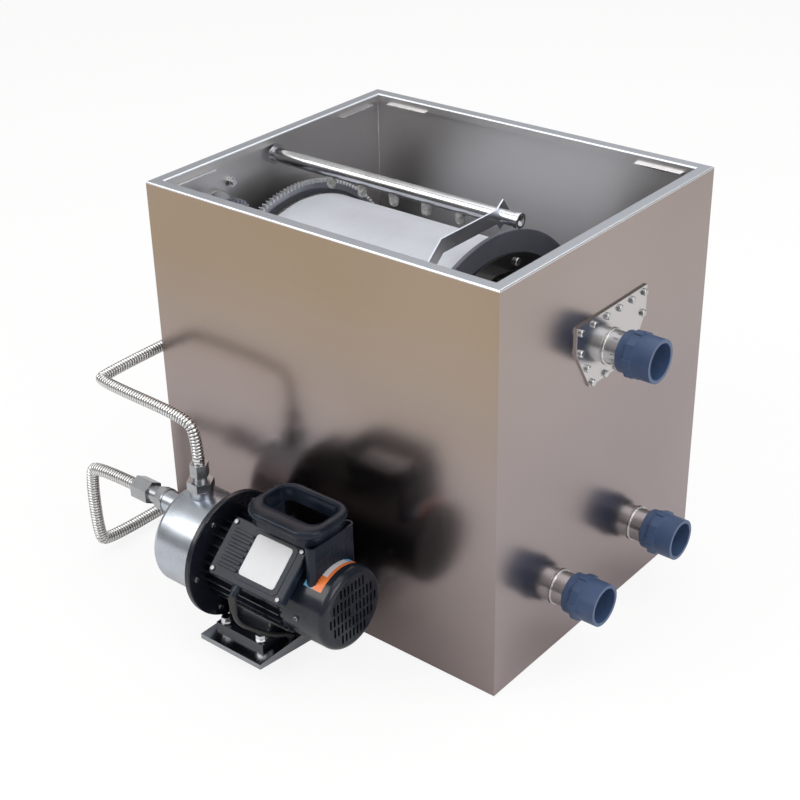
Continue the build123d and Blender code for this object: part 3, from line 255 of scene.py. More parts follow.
@dataclass(frozen=True)
class GroundSteel(Finish):
    """Stainless sheet with blurred reflections: colour by height as a painted reflection of the surroundings, soft
    clouds, faint grain.
    """

    low: Colour = (0.235, 0.190, 0.190)
    middle: Colour = (0.300, 0.252, 0.247)
    high: Colour = (0.310, 0.235, 0.165)
    light: Colour = (0.42, 0.37, 0.35)
    heights: tuple[float, float, float] = (0.06, 0.30, 0.52)
    grain: Grain = Grain.Z
    roughness: float = 0.21
    streak: float = 0.12
    bump: float = 0.03
    # Rim top colour: painted sky reflection; fold colour: painted highlight on the fold radii.
    rim_top_reflection: Colour | None = None
    fold_highlight: Colour = (0.80, 0.83, 0.88)
    # Inside colour: a paler painted reflection on the tank's inner faces.
    inside: Colour | None = None
    outer_half: tuple[float, float] = (0.2992, 0.2492)
    fold_above: float = 0.5972
    rim_above: float = 0.59970

    def build(self) -> bpy.types.Material:
        """Clouded metal with a painted reflection by height, a paler painted reflection and duller gloss inside the
        tank, and a painted highlight at the rim's folds.
        """
        graph = Graph(self.name)
        # Painted reflection: the colour steps from low to middle to high up the sheet, standing for the surroundings
        # mirrored in it.
        height = graph.axis(2)
        first, second, third = self.heights
        reflection_tint = graph.mix(height.between(first, second), self.low, self.middle)
        reflection_tint = graph.mix(height.between(second, third), reflection_tint, self.high)
        streaks = graph.noise(1.0, self.grain.value, 4.0, 0.65)
        clouds = graph.noise(2.2, detail=2.5).between(0.32, 0.68)
        marks = graph.noise(38.0, detail=5.0, roughness=0.7).between(0.56, 0.74)
        share = streaks * self.streak + clouds * (1.0 - self.streak)
        colour = graph.mix(share * 0.30, reflection_tint, self.light)
        rough = self.roughness + streaks * 0.06 - 0.03 + marks * 0.025
        # Painted reflection: faces within the outer walls are mixed towards the paler inside grey; they are also
        # rougher.
        if self.inside is not None:
            reach_x = graph.axis(0).absolute() > self.outer_half[0]
            reach_y = graph.axis(1).absolute() > self.outer_half[1]
            inner = (reach_x + reach_y) < 0.5
            colour = graph.mix(inner * (0.85 + clouds * 0.15), colour, self.inside)
            rough = rough + inner * 0.20
        # Painted highlight on the rim's fold radii, and a painted sky reflection on the flat rim top above them.
        if self.rim_top_reflection is not None:
            fold = height > self.fold_above
            colour = graph.mix(fold, colour, self.fold_highlight)
            colour = graph.mix(height > self.rim_above, colour, self.rim_top_reflection)
            rough = rough + fold * 0.06
        waves = graph.noise(5.0, detail=1.0)
        return graph.finish(
            Base_Color=colour, Metallic=1.0, Roughness=rough,
            Normal=graph.bump(streaks * self.bump + waves, 1.0, 0.0012))


@dataclass(frozen=True)
class PolishedSteel(Finish):
    """Polished stainless with fine lines and water marks."""

    colour: Colour = (0.68, 0.69, 0.71)
    roughness: float = 0.13
    grain: Grain = Grain.X

    def build(self) -> bpy.types.Material:
        """Bright metal whose gloss varies in small patches."""
        graph = Graph(self.name)
        lines = graph.noise(1.0, self.grain.value, 3.0)
        patches = graph.noise(24.0, detail=4.0)
        darker = tuple(channel * 0.78 for channel in self.colour)
        colour = graph.mix(patches.between(0.3, 0.7), darker, self.colour)
        return graph.finish(
            Base_Color=colour, Metallic=1.0,
            Roughness=self.roughness + patches * 0.10 + lines * 0.06 - 0.05,
            Normal=graph.bump(lines, 0.06, 0.0002))


@dataclass(frozen=True)
class RingedSteel(PolishedSteel):
    """Corrugated stainless hose with crests in the steel's colour and painted shade in its duller grooves."""

    groove_shade: Colour = (0.17, 0.17, 0.175)
    pitch: float = 0.0048

    def build(self) -> bpy.types.Material:
        """Grooves follow the distance along the hose, the UV map's first coordinate."""
        graph = Graph(self.name)
        phase = graph.axis(0, "UV") * (2.0 * math.pi / self.pitch) + 0.5 * math.pi
        # Painted shade: the colour is mixed towards dark grey in each groove, which is also rougher.
        groove_shade = phase.sine().between(0.15, 0.95)
        patches = graph.noise(24.0, detail=4.0)
        darker = tuple(channel * 0.82 for channel in self.colour)
        crest = graph.mix(patches.between(0.3, 0.7), darker, self.colour)
        return graph.finish(
            Base_Color=graph.mix(groove_shade * 0.85, crest, self.groove_shade), Metallic=1.0,
            Roughness=self.roughness + patches * 0.10 + groove_shade * 0.20,
            Normal=graph.bump(patches, 0.05, 0.0002))


@dataclass(frozen=True)
class Paint(Finish):
    """Sprayed or powder-coated metal with a fine orange peel."""

    colour: Colour = (0.016, 0.017, 0.021)
    roughness: float = 0.26
    peel: float = 260.0
    bump: float = 0.10
    coat: float = 0.05
    specular: float = 0.30

    def build(self) -> bpy.types.Material:
        """Paint with dust in its low spots and a clear gloss."""
        graph = Graph(self.name)
        peel = graph.noise(self.peel, detail=2.0)
        dust = graph.noise(16.0, detail=6.0, roughness=0.7).between(0.52, 0.80)
        paler = tuple(channel * 1.5 + 0.010 for channel in self.colour)
        return graph.finish(
            Base_Color=graph.mix(dust * 0.55, self.colour, paler), Metallic=0.0,
            Roughness=self.roughness + dust * 0.12 + peel * 0.05,
            Coat_Weight=self.coat, Coat_Roughness=0.12, Specular_IOR_Level=self.specular,
            Normal=graph.bump(peel, self.bump, 0.0003))


@dataclass(frozen=True)
class Moulded(Finish):
    """Moulded plastic: slight flow marks, fine texture, scuffs."""

    colour: Colour = (0.08, 0.12, 0.20)
    roughness: float = 0.38
    texture: float = 900.0
    bump: float = 0.10
    specular: float = 0.5

    def build(self) -> bpy.types.Material:
        """Plastic whose tone drifts a little along the mould flow."""
        graph = Graph(self.name)
        fine = graph.noise(self.texture, detail=2.0)
        flow = graph.noise(30.0, (1.0, 1.0, 0.35), 4.0)
        scuffs = graph.noise(120.0, (1.0, 0.25, 1.0), 5.0, 0.75).between(0.60, 0.78)
        paler = tuple(min(1.0, channel * 1.22 + 0.012) for channel in self.colour)
        colour = graph.mix(flow.between(0.35, 0.65) * 0.7 + scuffs * 0.3, self.colour, paler)
        return graph.finish(
            Base_Color=colour, Metallic=0.0, Roughness=self.roughness + scuffs * 0.14 + fine * 0.06,
            Specular_IOR_Level=self.specular, Normal=graph.bump(fine, self.bump, 0.0002))


@dataclass(frozen=True)
class WovenScreen(Finish):
    """Fine woven wire cloth that reads as a pale, soft grey skin."""

    colour: Colour = (0.62, 0.64, 0.70)
    pitch: float = 0.0011

    def build(self) -> bpy.types.Material:
        """Two crossed wave sets along the drum and round it, on the piece's own UV map in metres."""
        graph = Graph(self.name)
        turn = 2.0 * math.pi / self.pitch
        along = graph.axis(0, "UV") * turn
        around = graph.axis(1, "UV") * turn
        weave = along.sine() * around.sine()
        soft = graph.noise(7.0, detail=4.0)
        stains = graph.noise(26.0, (1.0, 0.5, 0.5), 5.0, 0.65).between(0.50, 0.78)
        darker = tuple(channel * 0.72 for channel in self.colour)
        tone = weave * 0.16 + soft.between(0.3, 0.7) * 0.55 + 0.35 - stains * 0.25
        return graph.finish(
            Base_Color=graph.mix(tone, darker, self.colour), Metallic=0.25,
            Roughness=0.52 + weave * 0.05, Normal=graph.bump(weave, 0.35, 0.00025))


@dataclass(frozen=True)
class MachinedSteel(Finish):
    """Turned or hobbed steel, dull grey with tool rings and an oil film."""

    colour: Colour = (0.17, 0.18, 0.21)
    roughness: float = 0.36
    metallic: float = 0.85
    tip_radius: float = 0.0
    tip_highlight: Colour = (0.62, 0.63, 0.66)
    axle_z: float = 0.299

    def build(self) -> bpy.types.Material:
        """Tool marks come from stretched noise, the film from broad noise, a painted highlight on the tips from
        radius.
        """
        graph = Graph(self.name)
        rings = graph.noise(1.0, (500.0, 60.0, 60.0), 3.0)
        film = graph.noise(12.0, detail=5.0, roughness=0.6)
        paler = tuple(channel * 1.6 for channel in self.colour)
        colour = graph.mix(film.between(0.35, 0.7), self.colour, paler)
        # Painted highlight: beyond the tip radius the colour turns pale, for light caught on the tooth tips.
        if self.tip_radius:
            across = graph.axis(1)
            above = graph.axis(2) - self.axle_z
            reach = (across * across + above * above).root()
            colour = graph.mix(reach.between(self.tip_radius, self.tip_radius + 0.0015), colour, self.tip_highlight)
        return graph.finish(
            Base_Color=colour, Metallic=self.metallic, Roughness=self.roughness + rings * 0.12 - film * 0.08,
            Normal=graph.bump(rings, 0.12, 0.0003))


@dataclass(frozen=True)
class Tape(Finish):
    """Thread tape and sealant gone grey on the nozzles."""

    colour: Colour = (0.42, 0.42, 0.42)

    def build(self) -> bpy.types.Material:
        """Wound layers round each nozzle, with grime between them."""
        graph = Graph(self.name)
        layers = (graph.axis(2) * (2.0 * math.pi / 0.0021) + graph.noise(160.0) * 7.0).sine()
        grime = graph.noise(210.0, detail=6.0, roughness=0.7).between(0.42, 0.66)
        darker = tuple(channel * 0.38 for channel in self.colour)
        return graph.finish(
            Base_Color=graph.mix(grime, self.colour, darker), Roughness=0.62 + grime * 0.1,
            Normal=graph.bump(layers * 0.4 + grime, 0.6, 0.0006))


@dataclass(frozen=True)
class Label(Finish):
    """Printed film with plain bands on the piece's own UV map."""

    panels: tuple[tuple[float, tuple[tuple[float, Colour], ...]], ...] = ()
    roughness: float = 0.36

    def build(self) -> bpy.types.Material:
        """Each panel starts at a share of the length and has its own bands across."""
        graph = Graph(self.name)
        along = graph.axis(0, "UV")
        across = graph.axis(1, "UV")
        colour: Any = PALE_FILM
        for start, bands in self.panels:
            settings = {"interpolation": "CONSTANT", "stops": bands}
            ramp = graph.node("ShaderNodeValToRGB", settings, {0: across}).outputs[0]
            colour = graph.mix(along > start, colour, ramp)
        fade = graph.noise(70.0, detail=4.0)
        faded = graph.mix(fade.between(0.5, 0.85) * 0.18, colour, (0.42, 0.42, 0.43))
        return graph.finish(
            Base_Color=faded, Roughness=self.roughness + fade * 0.1, Coat_Weight=0.1,
            Coat_Roughness=0.15, Normal=graph.bump(fade, 0.05, 0.0003))


# Flat rim top tone: painted sky reflection.
RIM_TOP_REFLECTION = (0.44, 0.46, 0.50)
PALE_FILM = (0.60, 0.61, 0.64)
ORANGE = (0.72, 0.17, 0.035)
SKY_BLUE = (0.10, 0.42, 0.66)
FILM_WHITE = (0.62, 0.61, 0.65)
FILM_BLACK = (0.012, 0.014, 0.018)
# Paler grey for the tank's inner faces: painted reflection.
INNER_FACE_REFLECTION = (0.63, 0.62, 0.62)
TANK_STEEL = GroundSteel("tank_steel", rim_top_reflection=RIM_TOP_REFLECTION, inside=INNER_FACE_REFLECTION)
# Side, back and left walls: the same sheet as the front wall in other tones, each wall's painted reflection.
SIDE_STEEL = GroundSteel(
    "side_steel", low=(0.330, 0.272, 0.272), middle=(0.300, 0.250, 0.250), high=(0.330, 0.272, 0.250),
    light=(0.42, 0.38, 0.375), rim_top_reflection=RIM_TOP_REFLECTION, inside=INNER_FACE_REFLECTION)
INNER_STEEL = GroundSteel(
    "inner_steel", low=(0.50, 0.50, 0.505), middle=(0.55, 0.545, 0.54), high=(0.54, 0.53, 0.52),
    light=(0.66, 0.65, 0.64), roughness=0.30)
# Lid rests painted pale: painted reflection of the sky on their flat tops.
REST_STEEL_REFLECTION = GroundSteel(
    "rest_steel_reflection", low=(0.70, 0.71, 0.73), middle=(0.70, 0.71, 0.73), high=(0.70, 0.71, 0.73),
    light=(0.80, 0.80, 0.80))
# Pump shelf painted darker grey: painted shade on the same sheet steel as the tank.
SHADED_SHELF_STEEL = GroundSteel(
    "shaded_shelf_steel", low=(0.30, 0.31, 0.34), middle=(0.30, 0.31, 0.34), high=(0.30, 0.31, 0.34),
    light=(0.42, 0.43, 0.46), grain=Grain.X, roughness=0.20)
SHIELD_STEEL = GroundSteel(
    "shield_steel", low=(0.49, 0.475, 0.48), middle=(0.50, 0.485, 0.49), high=(0.50, 0.48, 0.48),
    light=(0.62, 0.60, 0.60), grain=Grain.Y, streak=0.3)
# Pale blue-grey on the spray bracket and roller brackets: painted reflection of the sky.
STRAP_STEEL_REFLECTION = GroundSteel(
    "strap_steel_reflection", low=(0.60, 0.62, 0.70), middle=(0.60, 0.62, 0.70), high=(0.66, 0.69, 0.77),
    light=(0.76, 0.78, 0.88), grain=Grain.Y, roughness=0.30)
BRIGHT_STEEL = PolishedSteel("bright_steel", roughness=0.19)
PUMP_STEEL = PolishedSteel("pump_steel", colour=(0.50, 0.54, 0.60), roughness=0.26)
UNION_STEEL = PolishedSteel("union_steel", colour=(0.42, 0.43, 0.45), roughness=0.26, grain=Grain.Z)
BOLT_STEEL = PolishedSteel("bolt_steel", colour=(0.58, 0.58, 0.59), roughness=0.20, grain=Grain.Z)
SCREW_STEEL = PolishedSteel("screw_steel", colour=(0.24, 0.24, 0.25), roughness=0.28)
HOSE_STEEL = RingedSteel("hose_steel", colour=(0.74, 0.74, 0.74), roughness=0.20)
WELD_STEEL = PolishedSteel("weld_steel", colour=(0.74, 0.73, 0.71), roughness=0.24, grain=Grain.Y)
BLACK_CAST = Paint("black_cast", colour=(0.008, 0.010, 0.016), roughness=0.22, specular=0.38)
BLACK_GLOSS = Paint(
    "black_gloss", colour=(0.010, 0.010, 0.012), roughness=0.14, coat=0.6, bump=0.05, specular=0.5)
RING_PAINT = Paint("ring_paint", colour=(0.095, 0.100, 0.124), roughness=0.42)
DISC_PAINT = Paint("disc_paint", colour=(0.030, 0.033, 0.042), roughness=0.40)
GEARBOX_PAINT = Paint("gearbox_paint", colour=(0.10, 0.115, 0.135), roughness=0.36, coat=0.15)
BLACK_PLASTIC = Moulded(
    "black_plastic", colour=(0.006, 0.009, 0.016), roughness=0.16, specular=0.34)
COVER_PLASTIC = Moulded(
    "cover_plastic", colour=(0.008, 0.013, 0.023), roughness=0.18, specular=0.17)
HANDLE_PLASTIC = Moulded(
    "handle_plastic", colour=(0.006, 0.010, 0.019), roughness=0.16, specular=0.17)
GREY_PIPE = Moulded("grey_pipe", colour=(0.042, 0.076, 0.160), roughness=0.36)
WHITE_PLASTIC = Moulded("white_plastic", colour=(0.62, 0.61, 0.58), roughness=0.45)
LEAD_SHEATH = Moulded("lead_sheath", colour=(0.012, 0.012, 0.013), roughness=0.42, texture=1500.0)
SEAL_RUBBER = Moulded("seal_rubber", colour=(0.018, 0.018, 0.018), roughness=0.62, texture=1200.0)
GEAR_STEEL = MachinedSteel("gear_steel", colour=(0.24, 0.25, 0.28), tip_radius=0.2213)
PINION_STEEL = MachinedSteel("pinion_steel")
PLAIN_STEEL = MachinedSteel("plain_steel", colour=(0.34, 0.34, 0.35), roughness=0.30)
CAST_IRON = MachinedSteel("cast_iron", colour=(0.09, 0.09, 0.095), roughness=0.55, metallic=0.5)
SCREEN_CLOTH = WovenScreen("screen_cloth")
NOZZLE_TAPE = Tape("nozzle_tape")
PLATE_FILM = Label("plate_film")
BAND_FILM = Label("band_film", panels=(
    (-1.0, ((0.0, SKY_BLUE), (0.50, ORANGE))),
    (0.30, ((0.0, FILM_BLACK), (0.20, FILM_WHITE), (0.84, ORANGE))),
    (0.88, ((0.0, FILM_BLACK), (0.20, SKY_BLUE), (0.84, ORANGE)))))

CAD_FINISHES: dict[Finish, tuple[tuple[str, ...], str]] = {
    TANK_STEEL: (("front_wall",), "tank_sheet"),
    SIDE_STEEL: (("right_wall", "back_wall", "left_wall"), "tank_sheet"),
    INNER_STEEL: (("tank_floor", "partition", "sludge_trough"), "tank_sheet"),
    REST_STEEL_REFLECTION: (("lid_rests",), "tank_sheet"),
    SHADED_SHELF_STEEL: (("pump_shelf",), "tank_sheet"),
    SHIELD_STEEL: (("shield_plate",), "tank_sheet"),
    STRAP_STEEL_REFLECTION: (("spray_bracket", "roller_brackets"), "steel_fitting"),
    BRIGHT_STEEL: (("waste_stub", "inlet_stubs", "outlet_stubs", "spray_bar", "spray_end_cap",
                    "spray_nuts", "spray_elbow"), "bright_steel"),
    PUMP_STEEL: (("pump_barrel",), "bright_steel"),
    UNION_STEEL: (("pump_unions", "priming_plug"), "bright_steel"),
    BOLT_STEEL: (("shield_bolts", "gearbox_bolts", "drum_end_bolts", "foot_bolts"), "bright_steel"),
    SCREW_STEEL: (("cover_screws",), "bright_steel"),
    BLACK_CAST: (("motor_housing", "motor_flange"), "black_paint"),
    BLACK_GLOSS: (("drum_clamp_ring", "drum_motor"), "black_paint"),
    RING_PAINT: (("drum_end_ring",), "black_disc"),
    DISC_PAINT: (("drum_end_disc",), "black_disc"),
    GEARBOX_PAINT: (("gearbox",), "gearbox_paint"),
    BLACK_PLASTIC: (("fan_cover", "cooling_fan"), "black_plastic"),
    HANDLE_PLASTIC: (("carry_handle",), "black_plastic"),
    COVER_PLASTIC: (("terminal_box", "terminal_cover"), "black_plastic"),
    GREY_PIPE: (("waste_adaptor", "inlet_adaptors", "outlet_adaptors"), "grey_pvc"),
    WHITE_PLASTIC: (("roller_front", "roller_back"), "white_plastic"),
    SEAL_RUBBER: (("drum_seal",), "rubber"),
    GEAR_STEEL: (("ring_gear",), "gear_steel"),
    PINION_STEEL: (("pinion",), "gear_steel"),
    PLAIN_STEEL: (("drum_frame", "drum_stub_shaft", "pinion_shaft", "pinion_bearing", "motor_rotor",
                   "impeller"), "steel_fitting"),
    CAST_IRON: (("drum_bearing",), "cast_iron"),
}

SOFT_EDGES: dict[str, float] = {
    "terminal_box": 1.2, "terminal_cover": 0.9, "pump_shelf": 0.5,
    "motor_flange": 0.6, "waste_adaptor": 0.6, "inlet_adaptors": 0.6, "outlet_adaptors": 0.6,
    "gearbox": 0.8, "shield_plate": 0.4, "spray_bracket": 0.4, "drum_end_ring": 0.5,
    "pump_unions": 0.7, "foot_bolts": 0.5, "gearbox_bolts": 0.5, "spray_nuts": 0.5,
    "priming_plug": 0.5, "shield_bolts": 0.3, "spray_bar": 0.3, "pump_barrel": 0.5,
    "inlet_stubs": 0.3, "waste_stub": 0.3, "outlet_stubs": 0.3, "spray_end_cap": 0.4,
    "spray_elbow": 0.4, "drum_clamp_ring": 0.4, "drum_end_bolts": 0.4, "cover_screws": 0.2,
    "drum_motor": 0.4, "motor_housing": 0.4, "drum_bearing": 0.6, "pinion_bearing": 0.4,
    "lid_rests": 0.3, "roller_front": 0.3, "roller_back": 0.3,
}


class MaterialStore:
    """Materials made once for each finish."""

    def __init__(self) -> None:
        """Start empty."""
        self.made: dict[Finish, bpy.types.Material] = {}

    def get(self, finish: Finish) -> bpy.types.Material:
        """Material of a finish, made when it is first asked for."""
        if finish not in self.made:
            self.made[finish] = finish.build()
        return self.made[finish]


class Surface:
    """Collects grids of points into one mesh object."""

    def __init__(self) -> None:
        """Start empty."""
        self.points: list[np.ndarray] = []
        self.faces: list[np.ndarray] = []
        self.coordinates: list[np.ndarray] = []
        self.count = 0

    def grid(self, points: np.ndarray, wrap_rows: bool = False, wrap_columns: bool = False,
             caps: bool = False, size: tuple[float, float] = (1.0, 1.0)) -> "Surface":
        """Add a grid of points as quads.

        Args:
            points: Array of rows by columns by 3.
            wrap_rows: The last row joins the first.
            wrap_columns: The last column joins the first.
            caps: Close the first and last row with flat faces.
            size: Extent of the UV map along rows and columns.

        Returns:
            This surface.
        """
        rows, columns = points.shape[:2]
        row = np.arange(rows if wrap_rows else rows - 1)[:, None]
        column = np.arange(columns if wrap_columns else columns - 1)[None, :]
        next_row = (row + 1) % rows
        next_column = (column + 1) % columns
        corners = np.stack([
            row * columns + column, row * columns + next_column,
            next_row * columns + next_column, next_row * columns + column], axis=-1)
        u = np.linspace(0.0, size[0], rows)[:, None] * np.ones((1, columns))
        v = np.linspace(0.0, size[1], columns)[None, :] * np.ones((rows, 1))
        self.faces.append(corners.reshape(-1, 4) + self.count)
        if caps:
            self.faces.append(np.arange(columns)[None, ::-1] + self.count)
            self.faces.append(np.arange(columns)[None, :] + self.count + (rows - 1) * columns)
        self.points.append(points.reshape(-1, 3))
        self.coordinates.append(np.stack([u, v], axis=-1).reshape(-1, 2))
        self.count += rows * columns
        return self

    def build(self, name: str, material: bpy.types.Material, closed: bool = True,
              smooth_angle: float = 35.0) -> bpy.types.Object:
        """Make the mesh object at the origin.

        Args:
            name: Name of the piece.
            material: Its material.
            closed: Turn all faces outwards, for closed shells.
            smooth_angle: Edges sharper than this, in degrees, stay sharp.

        Returns:
            The object.
        """
        mesh = bpy.data.meshes.new(name)
        faces = [face.tolist() for block in self.faces for face in block]
        mesh.from_pydata(np.concatenate(self.points).tolist(), [], faces)
        layer = mesh.uv_layers.new(name="UVMap")
        loops = np.zeros(len(mesh.loops), dtype=np.int32)
        mesh.loops.foreach_get("vertex_index", loops)
        layer.data.foreach_set("uv", np.concatenate(self.coordinates)[loops].astype(np.float32).ravel())
        shape = bmesh.new()
        shape.from_mesh(mesh)
        bmesh.ops.remove_doubles(shape, verts=shape.verts, dist=1e-7)
        if closed:
            bmesh.ops.recalc_face_normals(shape, faces=shape.faces)
        shape.to_mesh(mesh)
        shape.free()
        mesh.shade_smooth()
        mesh.set_sharp_from_angle(angle=math.radians(smooth_angle))
        made = bpy.data.objects.new(name, mesh)
        bpy.context.scene.collection.objects.link(made)
        made.data.materials.append(material)
        return made


def turned(profile: Sequence[tuple[float, float]], centre: Point, axis: int = 0,
           steps: int = 64) -> np.ndarray:
    """Grid of a profile of (along, radius) points carried round an axis through centre.

    Args:
        profile: Points along the axis with their radius.
        centre: A point that along = 0 stands on.
        axis: 0, 1 or 2 for X, Y or Z.
        steps: Steps in a turn.

    Returns:
        Array of profile points by steps by 3.
    """
    line = np.array(profile, float)
    turn = np.linspace(0.0, 2.0 * math.pi, steps, endpoint=False)
    points = np.zeros((len(line), steps, 3))
    points[:, :, axis] = line[:, 0:1]
    points[:, :, (axis + 1) % 3] = line[:, 1:2] * np.cos(turn)
    points[:, :, (axis + 2) % 3] = line[:, 1:2] * np.sin(turn)
    return points + np.array(centre)


def rounded_outline(centre: tuple[float, float], half: tuple[float, float], corner: float,
                    steps: int) -> np.ndarray:
    """Evenly spaced points round a rectangle with round corners.

    Args:
        centre: Middle of the rectangle.
        half: Half of its two sides.
        corner: Radius of its corners.
        steps: Points in the outline.

    Returns:
        Array of steps by 2.
    """
    turn = np.linspace(0.0, 2.0 * math.pi, 128, endpoint=False)
    sides = []
    for wave, middle, reach in ((np.cos(turn), centre[0], half[0]), (np.sin(turn), centre[1], half[1])):
        sides.append(middle + np.where(wave >= 0.0, 1.0, -1.0) * (reach - corner) + corner * wave)
    loop = np.stack(sides, axis=1)
    closed = np.concatenate([loop, loop[:1]])
    lengths = np.concatenate([[0.0], np.cumsum(np.linalg.norm(np.diff(closed, axis=0), axis=1))])
    distance = np.linspace(0.0, lengths[-1], steps, endpoint=False)
    return np.stack([np.interp(distance, lengths, closed[:, k]) for k in (0, 1)], axis=1)


def spine_frames(path: np.ndarray, reference: Point) -> tuple[np.ndarray, np.ndarray, np.ndarray]:
    """Tangent, side and up vectors along a path.

    The tangent is the path's central difference; side is the reference less its share along the
    tangent; up is their cross product.
    """
    tangent = np.gradient(path, axis=0)
    tangent /= np.linalg.norm(tangent, axis=1, keepdims=True)
    toward = np.array(reference, float)
    side = toward - (tangent @ toward)[:, None] * tangent
    side /= np.linalg.norm(side, axis=1, keepdims=True)
    return tangent, side, np.cross(tangent, side)


def resample(path: np.ndarray, step: float) -> tuple[np.ndarray, np.ndarray]:
    """Points at even distances along a path, with their distances from its start."""
    lengths = np.concatenate([[0.0], np.cumsum(np.linalg.norm(np.diff(path, axis=0), axis=1))])
    distances = np.linspace(0.0, lengths[-1], max(2, int(round(lengths[-1] / step)) + 1))
    return np.stack([np.interp(distances, lengths, path[:, k]) for k in range(3)], axis=1), distances


def tube_points(path: np.ndarray, radius: np.ndarray, reference: Point, sides: int) -> np.ndarray:
    """Grid of circles of the given radii, square to the path at each of its points."""
    _, side, up = spine_frames(path, reference)
    turn = np.linspace(0.0, 2.0 * math.pi, sides, endpoint=False)
    ring = side[:, None, :] * np.cos(turn)[None, :, None] + up[:, None, :] * np.sin(turn)[None, :, None]
    return path[:, None, :] + ring * radius[:, None, None]


def route_line(name: str, route: Iterable[Point]) -> np.ndarray:
    """Smooth centreline of a route: a NURBS curve of order 3 that starts and ends at its ends."""
    points = list(route)
    curve = bpy.data.curves.new(name, "CURVE")
    curve.dimensions = "3D"
    curve.resolution_u = 24
    spline = curve.splines.new("NURBS")
    spline.points.add(len(points) - 1)
    for target, point in zip(spline.points, points):
        target.co = (*point, 1.0)
    spline.order_u = 3
    spline.use_endpoint_u = True
    holder = bpy.data.objects.new(name, curve)
    bpy.context.scene.collection.objects.link(holder)
    bpy.context.view_layer.update()
    mesh = bpy.data.meshes.new_from_object(holder)
    line = np.zeros(len(mesh.vertices) * 3)
    mesh.vertices.foreach_get("co", line)
    bpy.data.objects.remove(holder)
    bpy.data.meshes.remove(mesh)
    return line.reshape(-1, 3)


def line_length(line: np.ndarray) -> float:
    """Length of a line of points."""
    return float(np.linalg.norm(np.diff(line, axis=0), axis=1).sum())


def millimetres(*points: Point) -> list[Point]:
    """Points in metres from points in millimetres."""
    return [(x * MM, y * MM, z * MM) for x, y, z in points]


def soft_noise(*grids: np.ndarray, seed: int, waves: int = 6) -> np.ndarray:
    """Smooth repeatable noise: a sum of sines of the grids with seeded directions and phases."""
    draw = np.random.default_rng(seed)
    total = np.zeros_like(grids[0])
    for wave in range(waves):
        phase = draw.uniform(0.0, 2.0 * math.pi)
        mixed = sum(grid * draw.normal(0.0, 1.0 + 0.5 * wave) for grid in grids)
        total = total + np.sin(mixed + phase) / (1.0 + 0.6 * wave)
    return total / waves ** 0.5


@dataclass
class Assembly:
    """A group of pieces that shares the material store."""

    materials: MaterialStore

    def place(self, piece: bpy.types.Object, body: Body, slot: str | None = None,
              replaces: Sequence[str] = ()) -> bpy.types.Object:
        """Seat a finished piece on its body and report it.

        Args:
            piece: The piece, at the origin with its place in its mesh.
            body: Body that it rides on.
            slot: Material slot of the record; not used.
            replaces: CAD nodes that it stands for.

        Returns:
            The piece.
        """
        if replaces:
            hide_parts(*replaces)
        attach(piece, body.value)
        LOG.info("%s rides %s, %d faces", piece.name, body.value, len(piece.data.polygons))
        return piece


